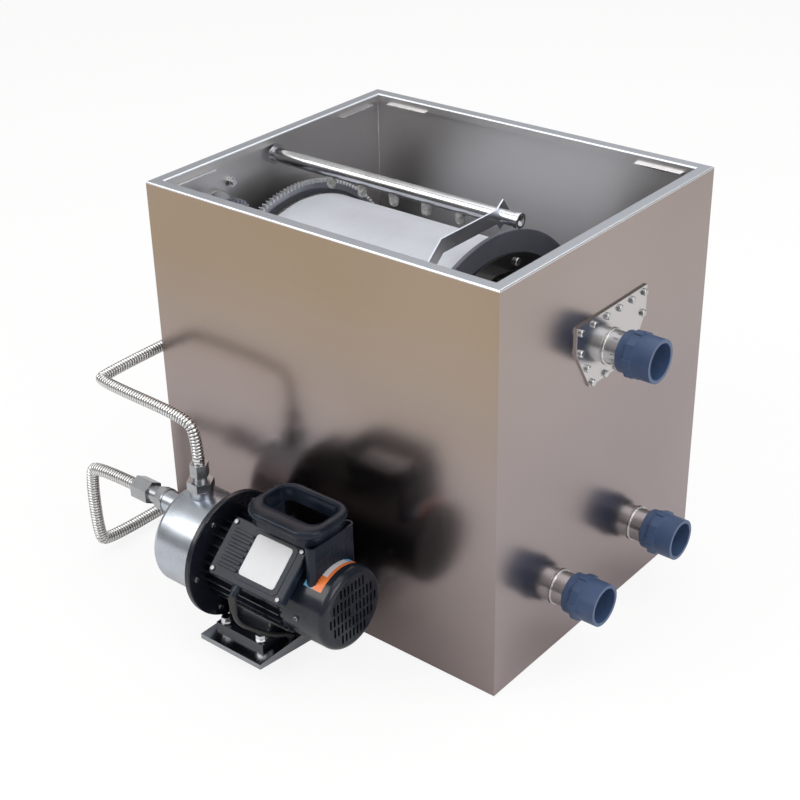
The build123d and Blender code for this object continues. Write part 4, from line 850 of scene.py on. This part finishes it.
@dataclass
class Studio(Assembly):
    """Camera, floor, lamps and surroundings."""

    position: Point = (1.2571107, -1.5921712, 1.3682817)
    azimuth: float = 41.257
    elevation: float = 29.183
    roll: float = -2.0045
    focal_pixels: float = 1560.515
    centre_pixels: tuple[float, float] = (360.63, 407.194)
    picture: float = 800.0
    sensor: float = 36.0
    floor_size: float = 14.0

    def camera(self) -> None:
        """Aim from azimuth, elevation and roll, with the photograph's field and centre."""
        a = math.radians(self.azimuth)
        e = math.radians(self.elevation)
        back = Vector((math.sin(a) * math.cos(e), -math.cos(a) * math.cos(e), math.sin(e)))
        right = (-back).cross(Vector((0.0, 0.0, 1.0))).normalized()
        up = right.cross(-back)
        c = math.cos(math.radians(self.roll))
        s = math.sin(math.radians(self.roll))
        turn = Matrix((c * right + s * up, c * up - s * right, back)).transposed().to_4x4()
        data = bpy.data.cameras.new("camera")
        data.sensor_width = self.sensor
        data.lens = self.focal_pixels * self.sensor / self.picture
        data.shift_x = (self.picture / 2 - self.centre_pixels[0]) / self.picture
        data.shift_y = (self.centre_pixels[1] - self.picture / 2) / self.picture
        camera = bpy.data.objects.new("camera", data)
        bpy.context.scene.collection.objects.link(camera)
        camera.matrix_world = Matrix.Translation(self.position) @ turn
        bpy.context.scene.camera = camera

    def floor(self) -> None:
        """Pale floor that is nearly white in view and keeps a soft shadow."""
        half = self.floor_size / 2
        corners = np.array([[[-half, -half, 0.0], [-half, half, 0.0]],
                            [[half, -half, 0.0], [half, half, 0.0]]])
        corners[:, :, 2] = -0.0006
        graph = Graph("floor_pale")
        grain = graph.noise(60.0, detail=4.0)
        graph.finish(Base_Color=graph.mix(grain, (0.80, 0.80, 0.80), (0.84, 0.84, 0.84)), Roughness=0.9)
        glow = graph.node("ShaderNodeEmission", inputs={"Color": (1.0, 1.0, 1.0), "Strength": 1.0})
        path = graph.node("ShaderNodeLightPath")
        seen = Number(graph, path.outputs["Is Camera Ray"]) * 0.87
        mixed = graph.node("ShaderNodeMixShader", inputs={
            0: seen, 1: graph.shader.outputs[0], 2: glow.outputs[0]})
        graph.feed(graph.output.inputs["Surface"], mixed.outputs[0])
        floor = Surface().grid(corners[:, ::-1]).build("floor", graph.material, closed=False)

    def lamp(self, name: str, place: Point, target: Point, size: float, power: float,
             colour: Colour) -> None:
        """One square soft lamp aimed at a target."""
        data = bpy.data.lights.new(name, "AREA")
        data.shape = "SQUARE"
        data.size = size
        data.energy = power
        data.color = colour
        lamp = bpy.data.objects.new(name, data)
        bpy.context.scene.collection.objects.link(lamp)
        lamp.location = place
        lamp.rotation_mode = "QUATERNION"
        lamp.rotation_quaternion = (Vector(target) - Vector(place)).to_track_quat("-Z", "Y")

    def surroundings(self) -> None:
        """White to the camera; a soft sky with a darker horizon lights the object."""
        graph = Graph("surroundings", world=True)
        bpy.context.scene.world = graph.material
        levels = ((0.0, 0.20), (0.46, 0.26), (0.56, 0.50), (0.75, 0.90), (1.0, 1.0))
        stops = [(at, (level, level * 0.985, level * 0.96)) for at, level in levels]
        height = graph.axis(2, "Generated").between(-1.0, 1.0)
        ramp = graph.node("ShaderNodeValToRGB", {"stops": stops}, {0: height}).outputs[0]
        sky = graph.node("ShaderNodeBackground", inputs={"Color": ramp, "Strength": 0.62})
        white = graph.node("ShaderNodeBackground", inputs={"Color": (1.0, 1.0, 1.0)})
        seen = graph.node("ShaderNodeLightPath").outputs["Is Camera Ray"]
        mixed = graph.node("ShaderNodeMixShader", inputs={
            0: seen, 1: sky.outputs[0], 2: white.outputs[0]})
        graph.node("ShaderNodeOutputWorld", inputs={"Surface": mixed.outputs[0]})

    def build(self) -> None:
        """Set the whole studio."""
        self.camera()
        self.floor()
        self.surroundings()
        centre = (0.0, -0.05, 0.3)
        self.lamp("key", (-1.6, -2.6, 2.6), centre, 2.2, 62.0, (1.0, 0.985, 0.96))
        self.lamp("side", (3.0, -0.6, 1.9), centre, 2.0, 44.0, (1.0, 0.99, 0.985))
        self.lamp("top", (0.2, 0.6, 3.0), centre, 3.8, 58.0, (0.98, 0.99, 1.0))
        bpy.context.scene.view_settings.view_transform = "Standard"


@dataclass
class Hose(Assembly):
    """Corrugated stainless hose between two fittings."""

    name: str = ""
    node: str = ""
    route: list[Point] = field(default_factory=list)
    reference: Point = (0.0, 0.0, 1.0)
    crest: float = 8.0 * MM
    depth: float = 1.9 * MM
    pitch: float = 4.8 * MM
    cuff: float = 9.0 * MM
    samples: int = 10
    sides: int = 20

    def build(self) -> None:
        """Radius = crest less depth times a narrow bell once each pitch, flat in the end cuffs."""
        line = route_line(self.name, self.route)
        length = line_length(line)
        path, distance = resample(line, self.pitch / self.samples)
        bell = (0.5 + 0.5 * np.cos(2.0 * math.pi * distance / self.pitch)) ** 2.5
        near_end = np.minimum(distance, length - distance)
        inside = np.clip((near_end - self.cuff) / (0.4 * self.pitch), 0.0, 1.0)
        radius = self.crest - self.depth * bell * inside
        hose = Surface().grid(
            tube_points(path, radius, self.reference, self.sides), wrap_columns=True, caps=True,
            size=(length, 0.05))
        piece = hose.build(self.name, self.materials.get(HOSE_STEEL), smooth_angle=60.0)
        self.place(piece, Body.TANK, "steel_fitting", [self.node])
        2 * self.crest


@dataclass
class PumpLead(Assembly):
    """Mains lead: from the gland through the shelf into a neat coil, then its plug."""

    radius: float = 3.5 * MM
    drop: list[Point] = field(default_factory=lambda: millimetres(
        (4.0, -436.4, 138.53), (10.0, -442.0, 127.0), (12.0, -439.0, 101.0), (19.0, -412.0, 76.0),
        (23.0, -384.4, 52.0), (26.0, -352.0, 38.0), (26.0, -351.0, 16.0)))
    coil_centre: tuple[float, float] = (-28.0 * MM, -338.0 * MM)
    coil_inner: float = 28.9 * MM
    coil_step: float = 7.15 * MM
    coil_low: float = 3.7 * MM
    layer_turns: int = 3
    points_per_turn: int = 16
    start_angle: float = -6.0
    tail: list[Point] = field(default_factory=lambda: millimetres(
        (9.0, -303.0, 10.6), (6.0, -287.0, 10.8), (-4.0, -279.0, 11.0), (-14.0, -278.2, 11.0)))
    plug_x: tuple[float, float] = (-14.0 * MM, -54.0 * MM)
    plug_at: tuple[float, float] = (-278.2 * MM, 11.0 * MM)

    def coil(self) -> list[Point]:
        """Turns that wind inwards on the ground, step up, and wind outwards on top."""
        outer = self.coil_inner + (self.layer_turns - 1) * self.coil_step
        total = self.layer_turns * self.points_per_turn
        points = []
        for index in range(2 * total + 2):
            turn = index / self.points_per_turn
            along = min(turn, self.layer_turns)
            back = max(0.0, turn - self.layer_turns)
            share = (self.layer_turns - 1) / self.layer_turns
            radius = outer - along * self.coil_step * share + back * self.coil_step * share
            rise = min(1.0, max(0.0, (turn - self.layer_turns + 0.35) / 0.5))
            settle = max(0.0, 1.0 - turn / 0.35) * 2.2 * MM
            angle = math.radians(self.start_angle) + 2.0 * math.pi * turn
            points.append((
                self.coil_centre[0] + radius * math.cos(angle),
                self.coil_centre[1] + radius * math.sin(angle),
                self.coil_low + self.coil_step * rise + settle * (1.0 - rise)))
        return points

    def plug(self) -> bpy.types.Object:
        """Moulded plug: superellipse sections lofted along X, with three flat pins."""
        y, z = self.plug_at
        stations = np.array([
            [0.00, 4.0, 4.0], [0.03, 5.2, 5.2], [0.20, 6.0, 5.6], [0.34, 6.8, 6.0], [0.42, 10.6, 8.2],
            [0.52, 12.2, 9.8], [0.88, 12.8, 10.6], [0.985, 12.6, 10.4], [1.0, 11.8, 9.6]])
        turn = np.linspace(0.0, 2.0 * math.pi, 40, endpoint=False)
        power = 0.55
        shape_y = np.sign(np.cos(turn)) * np.abs(np.cos(turn)) ** power
        shape_z = np.sign(np.sin(turn)) * np.abs(np.sin(turn)) ** power
        body = np.zeros((len(stations), len(turn), 3))
        span = self.plug_x[1] - self.plug_x[0]
        body[:, :, 0] = self.plug_x[0] + stations[:, 0:1] * span
        body[:, :, 1] = y + stations[:, 1:2] * MM * shape_y
        body[:, :, 2] = z + stations[:, 2:3] * MM * shape_z
        surface = Surface().grid(body, wrap_columns=True, caps=True)
        return surface.build("lead_plug", self.materials.get(LEAD_SHEATH))

    def pins(self) -> bpy.types.Object:
        """Three flat brass-coloured pins with rounded tips: tapering superellipse prisms."""
        y, z = self.plug_at
        surface = Surface()
        turn = np.linspace(0.0, 2.0 * math.pi, 24, endpoint=False)
        along = np.array([[-2.0, 1.0], [14.0, 1.0], [15.6, 0.86], [16.4, 0.5]])
        for shift_y, shift_z, half_y, half_z in ((-6.0, -2.5, 0.9, 3.0), (6.0, -2.5, 0.9, 3.0), (0.0, 4.5, 0.9, 3.0)):
            pin = np.zeros((len(along), len(turn), 3))
            pin[:, :, 0] = self.plug_x[1] - along[:, 0:1] * MM
            pin[:, :, 1] = y + (shift_y + half_y * along[:, 1:2] * np.cos(turn)) * MM
            pin[:, :, 2] = z + (shift_z + half_z * along[:, 1:2] * np.sin(turn)) * MM
            surface.grid(pin, wrap_columns=True, caps=True)
        return surface.build("plug_pins", self.materials.get(BOLT_STEEL))

    def relief(self, line: np.ndarray) -> bpy.types.Object:
        """Ribbed strain relief where the lead leaves the gland, thinning along the lead."""
        path, distance = resample(line[:60], 0.7 * MM)
        kept = distance <= 24.0 * MM
        path, distance = path[kept], distance[kept]
        share = distance / distance[-1]
        ribs = 0.45 * MM * (np.sin(2.0 * math.pi * distance / (3.4 * MM)) > 0.0)
        radius = self.radius + (2.3 - 1.9 * share) * MM + ribs * (1.0 - share)
        grid = tube_points(path, radius, (1.0, 0.0, -1.0), 24)
        return Surface().grid(grid, wrap_columns=True, caps=True).build(
            "lead_relief", self.materials.get(SEAL_RUBBER))

    def build(self) -> None:
        """One spline from the gland to the plug, and the pieces on it."""
        route = [*self.drop, *self.coil(), *self.tail]
        line = route_line("power_cord", route)
        path, _ = resample(line, 2.2 * MM)
        grid = tube_points(path, np.full(len(path), self.radius), (1.0, 0.0, -1.0), 14)
        cord = Surface().grid(grid, wrap_columns=True, caps=True).build(
            "power_cord", self.materials.get(LEAD_SHEATH), smooth_angle=70.0)
        plug = self.plug()
        pins = self.pins()
        relief = self.relief(line)
        self.place(cord, Body.TANK, "lead_sheath", ["power_lead", "lead_coil"])
        self.place(plug, Body.TANK, "lead_sheath")
        self.place(pins, Body.TANK, "bright_steel")
        self.place(relief, Body.TANK, "lead_sheath")


@dataclass
class Solids(Assembly):
    """Finishes of the CAD solids, some as merged copies with broken edges."""

    nodes: dict[str, bpy.types.Object] = field(default_factory=dict)

    def softened(self, name: str, width: float, finish: Finish, slot: str) -> bpy.types.Object:
        """Copy of a node with its flat faces joined and its edges broken by a small bevel.

        Args:
            name: The CAD node.
            width: Bevel width in millimetres.
            finish: Finish of the copy.
            slot: Material slot of the record; not used.

        Returns:
            The new piece.
        """
        node = self.nodes[name]
        mesh = node.data.copy()
        mesh.name = name + "_skin"
        shape = bmesh.new()
        shape.from_mesh(mesh)
        bmesh.ops.remove_doubles(shape, verts=shape.verts, dist=2e-6)
        bmesh.ops.dissolve_limit(
            shape, angle_limit=math.radians(1.0), verts=shape.verts, edges=shape.edges)
        shape.to_mesh(mesh)
        shape.free()
        for extra in [a.name for a in mesh.attributes if a.name == "custom_normal"]:
            mesh.attributes.remove(mesh.attributes[extra])
        mesh.materials.clear()
        mesh.materials.append(self.materials.get(finish))
        mesh.shade_smooth()
        mesh.set_sharp_from_angle(angle=math.radians(40.0))
        piece = bpy.data.objects.new(name + "_skin", mesh)
        bpy.context.scene.collection.objects.link(piece)
        bevel = piece.modifiers.new("broken_edges", "BEVEL")
        bevel.width = width * MM
        bevel.segments = 2
        bevel.limit_method = "ANGLE"
        bevel.angle_limit = math.radians(40.0)
        bevel.use_clamp_overlap = True
        bevel.harden_normals = True
        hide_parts(name)
        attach(piece, node["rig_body"])
        return piece

    def build(self) -> None:
        """Give every CAD node its finish, and a softened copy where its edges show."""
        for finish, (names, slot) in CAD_FINISHES.items():
            for name in names:
                node = self.nodes[name]
                node.data.materials.clear()
                node.data.materials.append(self.materials.get(finish))
                if name in SOFT_EDGES:
                    self.softened(name, SOFT_EDGES[name], finish, slot)
                LOG.info("%s dressed as %s", name, finish.name)


@dataclass
class DrumScreen(Assembly):
    """Wire cloth pulled over the drum's hoops, with a strap at each end."""

    centre_z: float = 299.0 * MM
    radius: float = 207.0 * MM
    wall: float = 1.2 * MM
    strap: float = 7.0 * MM

    def cloth(self) -> bpy.types.Object:
        """Radius = drum radius plus slack that grows between the hoops and slants round the drum."""
        low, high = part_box("drum_screen")
        x = np.linspace(low.x, high.x, 140)[:, None]
        turn = np.linspace(0.0, 2.0 * math.pi, 320, endpoint=False)[None, :]
        share = (x - low.x) / (high.x - low.x)
        free = np.abs(np.sin(2.0 * math.pi * share)) ** 0.8
        folds = soft_noise(x * 14.0 + 0.0 * turn, np.sin(turn) * 5.0 + x * 6.0,
                           np.cos(turn) * 5.0 + 0.0 * x, seed=11)
        slack = free * (0.45 * folds + 0.18 * np.sin(9.0 * turn + 16.0 * x)) * MM
        outer = self.radius - 0.25 * MM + slack
        shells = []
        for radius in (outer, outer - self.wall * 0.5):
            shell = np.zeros((140, 320, 3))
            shell[:, :, 0] = x
            shell[:, :, 1] = radius * np.cos(turn)
            shell[:, :, 2] = self.centre_z + radius * np.sin(turn)
            shells.append(shell)
        loop = np.concatenate([shells[0], shells[1][::-1]])
        size = (2.0 * (high.x - low.x), 2.0 * math.pi * self.radius)
        surface = Surface().grid(loop, wrap_rows=True, wrap_columns=True, size=size)
        return surface.build("screen_cloth", self.materials.get(SCREEN_CLOTH), smooth_angle=50.0)

    def straps(self) -> bpy.types.Object:
        """Thin steel strap round each end of the cloth: a flat rounded section turned about X."""
        low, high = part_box("drum_screen")
        surface = Surface()
        for x0 in (low.x + 0.3 * MM, high.x - 0.3 * MM - self.strap):
            x1 = x0 + self.strap
            inner = self.radius - 0.1 * MM
            outer = self.radius + 0.7 * MM
            edge = 0.25 * MM
            profile = [(x0, inner), (x0, outer - edge), (x0 + edge, outer), (x1 - edge, outer),
                       (x1, outer - edge), (x1, inner)]
            surface.grid(turned(profile, (0.0, 0.0, self.centre_z), steps=180),
                         wrap_rows=True, wrap_columns=True)
        return surface.build("screen_straps", self.materials.get(WELD_STEEL))

    def build(self) -> None:
        """Dress the drum."""
        self.place(self.cloth(), Body.DRUM, "screen_mesh", ["drum_screen"])
        self.place(self.straps(), Body.DRUM, "steel_fitting")


@dataclass
class SprayLine(Assembly):
    """Taped nozzles hanging from the rail under the spray bar."""

    first_x: float = -181.0 * MM
    pitch: float = 58.7 * MM
    count: int = 5

    def nozzles(self) -> bpy.types.Object:
        """Each nozzle: a flattened tapering stem whose radius wanders with the tape's windings."""
        low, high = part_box("spray_nozzles")
        surface = Surface()
        turn = np.linspace(0.0, 2.0 * math.pi, 36, endpoint=False)[None, :]
        share = np.linspace(0.0, 1.0, 30)[:, None]
        for index in range(self.count):
            x = self.first_x + self.pitch * index
            lumps = soft_noise(np.cos(turn) * 3.4 + 0.0 * share, np.sin(turn) * 3.4 + 0.0 * share,
                               share * 12.0 + 0.0 * turn, seed=31 + index)
            stem = 6.4 - 1.7 * share + 0.9 * np.sin(math.pi * share) + 1.15 * lumps
            close = np.clip(np.minimum((1.0 - share) * 7.0, 1.0), 0.12, 1.0) ** 0.5
            radius = stem * close * MM
            grid = np.zeros((30, 36, 3))
            lean = 0.9 * MM * soft_noise(np.array([float(index)]), seed=3)[0]
            grid[:, :, 0] = x + radius * 1.12 * np.cos(turn) + lean * share
            grid[:, :, 1] = radius * 0.92 * np.sin(turn)
            grid[:, :, 2] = high.z - share * (high.z - low.z)
            surface.grid(grid, wrap_columns=True, caps=True)
        return surface.build("taped_nozzles", self.materials.get(NOZZLE_TAPE), smooth_angle=70.0)

    def build(self) -> None:
        """Hang the nozzles."""
        self.place(self.nozzles(), Body.TANK, "white_plastic", ["spray_nozzles"])


@dataclass
class Welds(Assembly):
    """Weld beads where stubs, walls and plate meet."""

    bead: float = 1.3 * MM
    stub_radius: float = 24.15 * MM

    def ring(self, surface: Surface, x: float, y: float, z: float, seed: int) -> None:
        """Bead round a stub: a small circle carried round a large one, its size rippling."""
        turn = np.linspace(0.0, 2.0 * math.pi, 150, endpoint=False)[:, None]
        around = np.linspace(0.0, 2.0 * math.pi, 10, endpoint=False)[None, :]
        ripple = 1.0 + 0.16 * np.sin(58.0 * turn) + 0.07 * np.sin(7.0 * turn + seed)
        reach = self.stub_radius + 0.7 * MM + self.bead * ripple * np.cos(around)
        grid = np.zeros((150, 10, 3))
        grid[:, :, 0] = x + self.bead * ripple * np.sin(around)
        grid[:, :, 1] = y + reach * np.cos(turn)
        grid[:, :, 2] = z + reach * np.sin(turn)
        surface.grid(grid, wrap_rows=True, wrap_columns=True)

    def seam(self, surface: Surface, start: Point, end: Point, size: float) -> None:
        """Straight bead: a rippling round section along a line."""
        steps = 240
        share = np.linspace(0.0, 1.0, steps)
        path = np.array(start)[None, :] * (1.0 - share)[:, None] + np.array(end)[None, :] * share[:, None]
        radius = size * (1.0 + 0.14 * np.sin(share * 420.0))
        surface.grid(tube_points(path, radius, (0.3, 0.5, 0.81) if start[2] == end[2] else (1.0, 0.3, 0.0), 8),
                     wrap_columns=True, caps=True)

    def build(self) -> None:
        """Beads at the stubs, and seams in the tank's inner corners."""
        beads = Surface()
        low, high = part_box("right_wall")
        left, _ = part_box("left_wall")
        _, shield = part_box("shield_plate")
        for seed, y in enumerate((-0.1, 0.1)):
            self.ring(beads, high.x + 1.6 * MM, y, 0.096, seed)
        self.ring(beads, shield.x + 1.6 * MM, 0.0, 0.427, 5)
        for seed, y in enumerate((0.07, 0.18)):
            self.ring(beads, left.x - 1.6 * MM, y, 0.096, 8 + seed)
        self.place(beads.build("stub_welds", self.materials.get(WELD_STEEL)), Body.TANK, "bright_steel")
        seams = Surface()
        floor_low, floor_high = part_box("tank_floor")
        for x in (floor_low.x, floor_high.x):
            for y in (floor_low.y, floor_high.y):
                self.seam(seams, (x, y, 0.004), (x, y, 0.586), 0.9 * MM)
        self.place(seams.build("corner_seams", self.materials.get(WELD_STEEL)), Body.TANK, "tank_sheet")


@dataclass
class MotorTrim(Assembly):
    """Blank plate, label bands and small screws on the pump's motor."""

    axis_y: float = -347.0 * MM
    axis_z: float = 127.0 * MM
    tilt: float = 42.6
    cover_face: float = 79.0 * MM
    fan_radius: float = 60.0 * MM
    band_x: tuple[float, float] = (91.0 * MM, 121.3 * MM)
    band_angles: tuple[float, float] = (134.0, 62.0)
    plate_x: tuple[float, float] = (2.0 * MM, 66.0 * MM)
    plate_v: tuple[float, float] = (-33.0 * MM, 27.0 * MM)
    flange_x: float = -76.0 * MM
    flange_screws: float = 79.0 * MM
    fan_screw_x: float = 92.0 * MM

    def on_box(self, x: np.ndarray, v: np.ndarray, height: np.ndarray) -> np.ndarray:
        """Points over the tilted cover: x along the motor, v down its slope, height over its face."""
        c = math.cos(math.radians(self.tilt))
        s = math.sin(math.radians(self.tilt))
        reach = self.cover_face + height
        return np.stack([x, self.axis_y - v * c - reach * s, self.axis_z - v * s + reach * c], axis=-1)

    def pad(self, x: tuple[float, float], v: tuple[float, float], corner: float, base: float,
            top: float, edge: float) -> np.ndarray:
        """Rounded flat pad on the cover: a superellipse-cornered outline stepped in at its top edge."""
        turn = np.linspace(0.0, 2.0 * math.pi, 96, endpoint=False)
        half_x = (x[1] - x[0]) / 2
        half_v = (v[1] - v[0]) / 2
        rows = []
        for inset, height in ((0.0, base), (0.0, top - edge), (edge, top), (half_v, top)):
            inner_x = max(half_x - corner, 0.0)
            inner_v = max(half_v - corner, 0.0)
            reach = max(corner - inset, 0.0)
            shrink = max(inset - corner, 0.0)
            px = np.sign(np.cos(turn)) * max(inner_x - shrink, 0.0) + reach * np.cos(turn)
            pv = np.sign(np.sin(turn)) * max(inner_v - shrink, 0.0) + reach * np.sin(turn)
            rows.append(self.on_box(
                (x[0] + x[1]) / 2 + px, (v[0] + v[1]) / 2 + pv, np.full_like(px, height)))
        return np.array(rows)

    def nameplate(self) -> bpy.types.Object:
        """Blank printed plate on its raised bed."""
        surface = Surface().grid(
            self.pad(self.plate_x, self.plate_v, 5.0 * MM, 0.8 * MM, 1.5 * MM, 0.2 * MM),
            wrap_columns=True, caps=True)
        return surface.build("blank_plate", self.materials.get(PLATE_FILM))

    def bed(self) -> bpy.types.Object:
        """Raised bed of the cover round the plate."""
        x = (self.plate_x[0] - 7.0 * MM, self.plate_x[1] + 8.0 * MM)
        v = (self.plate_v[0] - 5.0 * MM, self.plate_v[1] + 7.0 * MM)
        surface = Surface().grid(
            self.pad(x, v, 8.0 * MM, -0.6 * MM, 1.0 * MM, 0.7 * MM), wrap_columns=True, caps=True)
        return surface.build("plate_bed", self.materials.get(COVER_PLASTIC))

    def bands(self) -> bpy.types.Object:
        """Thin label wrapped on the fan cover: a strip of a cylinder, x against angle."""
        rows, columns = 60, 12
        angle = np.radians(np.linspace(*self.band_angles, rows))[:, None]
        x = np.linspace(*self.band_x, columns)[None, :]
        shells = []
        for lift in (0.25 * MM, -0.1 * MM):
            radius = self.fan_radius + lift
            shell = np.zeros((rows, columns, 3))
            shell[:, :, 0] = x
            shell[:, :, 1] = self.axis_y + radius * np.cos(angle)
            shell[:, :, 2] = self.axis_z + radius * np.sin(angle)
            shells.append(shell)
        closed = np.concatenate([shells[0], shells[1][:, ::-1], shells[0][:, :1]], axis=1)
        surface = Surface().grid(closed, caps=True)
        flat = np.concatenate([np.linspace(0, 1, columns), np.full(columns + 1, 1.0)])
        flat[columns:] = np.concatenate([np.linspace(1, 0, columns), [0.0]])
        surface.coordinates[0][:, 1] = np.tile(flat, rows)
        return surface.build("label_bands", self.materials.get(BAND_FILM))

    def ribs(self) -> bpy.types.Object:
        """Six rounded bars over the cover's ribs, each a narrow pad."""
        surface = Surface()
        for index in range(6):
            middle = (index - 2.5) * 10.0 * MM
            surface.grid(
                self.pad((-36.0 * MM, 0.0), (middle - 2.7 * MM, middle + 2.7 * MM), 2.6 * MM,
                         -0.5 * MM, 3.2 * MM, 1.1 * MM),
                wrap_columns=True, caps=True)
        return surface.build("cover_ribs", self.materials.get(COVER_PLASTIC))

    def screws(self) -> bpy.types.Object:
        """Pan heads with a round socket, turned: six on the flange, two on the fan cover."""
        surface = Surface()
        head = np.array([(-0.3, 4.4), (2.4, 4.4), (3.1, 3.7), (3.2, 2.3), (1.8, 2.1)]) * MM
        for angle in np.radians(np.arange(0.0, 360.0, 60.0)):
            centre = (self.flange_x, self.axis_y + self.flange_screws * math.cos(angle),
                      self.axis_z + self.flange_screws * math.sin(angle))
            surface.grid(turned(head, centre, steps=24), wrap_columns=True, caps=True)
        for side in (-1.0, 1.0):
            profile = (head * (1.0, 0.85) + (self.fan_radius - 0.5 * MM, 0.0)) * (side, 1.0)
            centre = (self.fan_screw_x, self.axis_y, self.axis_z)
            surface.grid(turned(profile, centre, 1, 24), wrap_columns=True, caps=True)
        return surface.build("pump_screws", self.materials.get(SCREW_STEEL))

    def build(self) -> None:
        """Add the trim."""
        self.place(self.ribs(), Body.TANK, "black_plastic")
        self.place(self.screws(), Body.TANK, "bright_steel")
        self.place(self.bed(), Body.TANK, "black_plastic")
        self.place(self.nameplate(), Body.TANK, "white_plastic")
        self.place(self.bands(), Body.TANK, "white_plastic")


@dataclass
class CarryHandle(Assembly):
    """Moulded handle: a lipped frame on a narrow leg and a wide grooved one. Sizes in millimetres."""

    outer_centre: tuple[float, float] = (46.5, -345.5)
    outer_half: tuple[float, float] = (63.0, 47.5)
    outer_corner: float = 30.0
    hole_centre: tuple[float, float] = (44.5, -337.5)
    hole_half: tuple[float, float] = (50.0, 27.0)
    hole_corner: float = 15.0
    top: float = 251.5
    bottom: float = 228.0
    pump_axis: tuple[float, float] = (-347.0, 127.0)
    seat_radius: float = 59.8
    groove_pitch: float = 4.4
    leg_centre: tuple[float, float] = (101.0, -345.5)
    leg_half: tuple[float, float] = (8.0, 43.0)
    leg_corner: float = 7.0
    wall: float = 2.5
    steps: int = 240

    def level(self, outline: np.ndarray, height: float) -> np.ndarray:
        """One outline at a height, in metres."""
        return np.column_stack([outline, np.full(len(outline), height)]) * MM

    def frame(self, surface: Surface) -> None:
        """Rows over the frame's section: skirt, lip, crown, hole edge and hole wall, each an outline."""
        rows = []
        for inset, drop in ((5.0, 23.5), (4.0, 12.5), (0.8, 10.0), (0.0, 8.5), (0.0, 4.0), (1.2, 1.4), (4.0, 0.0)):
            half = (self.outer_half[0] - inset, self.outer_half[1] - inset)
            outline = rounded_outline(self.outer_centre, half, self.outer_corner - inset, self.steps)
            rows.append(self.level(outline, self.top - drop))
        for outset, drop in ((3.2, 0.4), (0.9, 1.6), (0.0, 4.0), (0.0, 23.5)):
            half = (self.hole_half[0] + outset, self.hole_half[1] + outset)
            outline = rounded_outline(self.hole_centre, half, self.hole_corner + outset, self.steps)
            rows.append(self.level(outline, self.top - drop))
        surface.grid(np.array(rows), wrap_rows=True, wrap_columns=True)

    def legs(self, surface: Surface) -> None:
        """Narrow leg on the motor; wide leg seated on the fan cover, its outer face waved in grooves."""
        narrow = rounded_outline((-6.5, -338.0), (6.5, 19.0), 4.0, 80)
        rows = [self.level(narrow, height) for height in (193.2, self.bottom + 2.0)]
        surface.grid(np.array(rows), wrap_columns=True, caps=True)
        rows = []
        for inset, levels in ((0.0, ((0.0, 1.0), (0.45, 1.0), (0.55, 0.0), (1.0, 0.0))),
                              (self.wall, ((1.0, 0.0), (0.0, 0.0)))):
            half = (self.leg_half[0] - inset, self.leg_half[1] - inset)
            wide = rounded_outline(self.leg_centre, half, self.leg_corner - inset, self.steps)
            reach = wide[:, 1] - self.pump_axis[0]
            seat = self.pump_axis[1] + np.sqrt(self.seat_radius ** 2 - reach ** 2)
            wave = 0.5 + 0.5 * np.sin(2.0 * math.pi * wide[:, 1] / self.groove_pitch)
            outer = np.clip((wide[:, 0] - self.leg_centre[0]) / 4.0, 0.0, 1.0)
            for share, depth in levels:
                row = np.column_stack([wide, seat + (self.bottom + 2.0 - seat) * share])
                row[:, 0] -= depth * outer * wave
                rows.append(row * MM)
        surface.grid(np.array(rows), wrap_rows=True, wrap_columns=True)

    def build(self) -> None:
        """One piece for the frame and both legs."""
        surface = Surface()
        self.frame(surface)
        self.legs(surface)
        piece = surface.build("handle_grip", self.materials.get(HANDLE_PLASTIC), smooth_angle=40.0)
        self.place(piece, Body.TANK, "black_plastic", ["carry_handle"])


HOSE_ROUTES: tuple[tuple[str, str, list[Point], Point, float], ...] = (
    ("discharge_line", "discharge_hose", millimetres(
        (-137, -347, 253), (-137, -347, 299), (-157, -347, 318), (-329, -347, 319),
        (-342, -334, 319), (-342, -44, 318), (-340, -14, 326), (-334, 0, 356), (-334, 0, 535)),
     (1.0, 1.0, -1.0), 8.5 * MM),
    ("suction_line", "suction_hose", millimetres(
        (-273, -347, 163), (-362, -347, 163), (-381, -347, 147), (-381, -347, 31),
        (-381, -332, 15), (-381, -120, 15), (-360, -78, 24), (-338, -60, 30), (-318, -60, 30)),
     (-1.0, 1.0, 1.0), 9.6 * MM),
)


def main() -> None:
    """Build the scene in order and report each piece."""
    logging.basicConfig(level=logging.INFO, format="%(message)s")
    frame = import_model()
    materials = MaterialStore()
    Studio(materials).build()
    for name, node, route, reference, crest in HOSE_ROUTES:
        Hose(materials, name, node, route, reference, crest).build()
    PumpLead(materials).build()
    Solids(materials, frame["nodes"]).build()
    DrumScreen(materials).build()
    SprayLine(materials).build()
    Welds(materials).build()
    MotorTrim(materials).build()
    CarryHandle(materials).build()


if __name__ == "__main__":
    main()
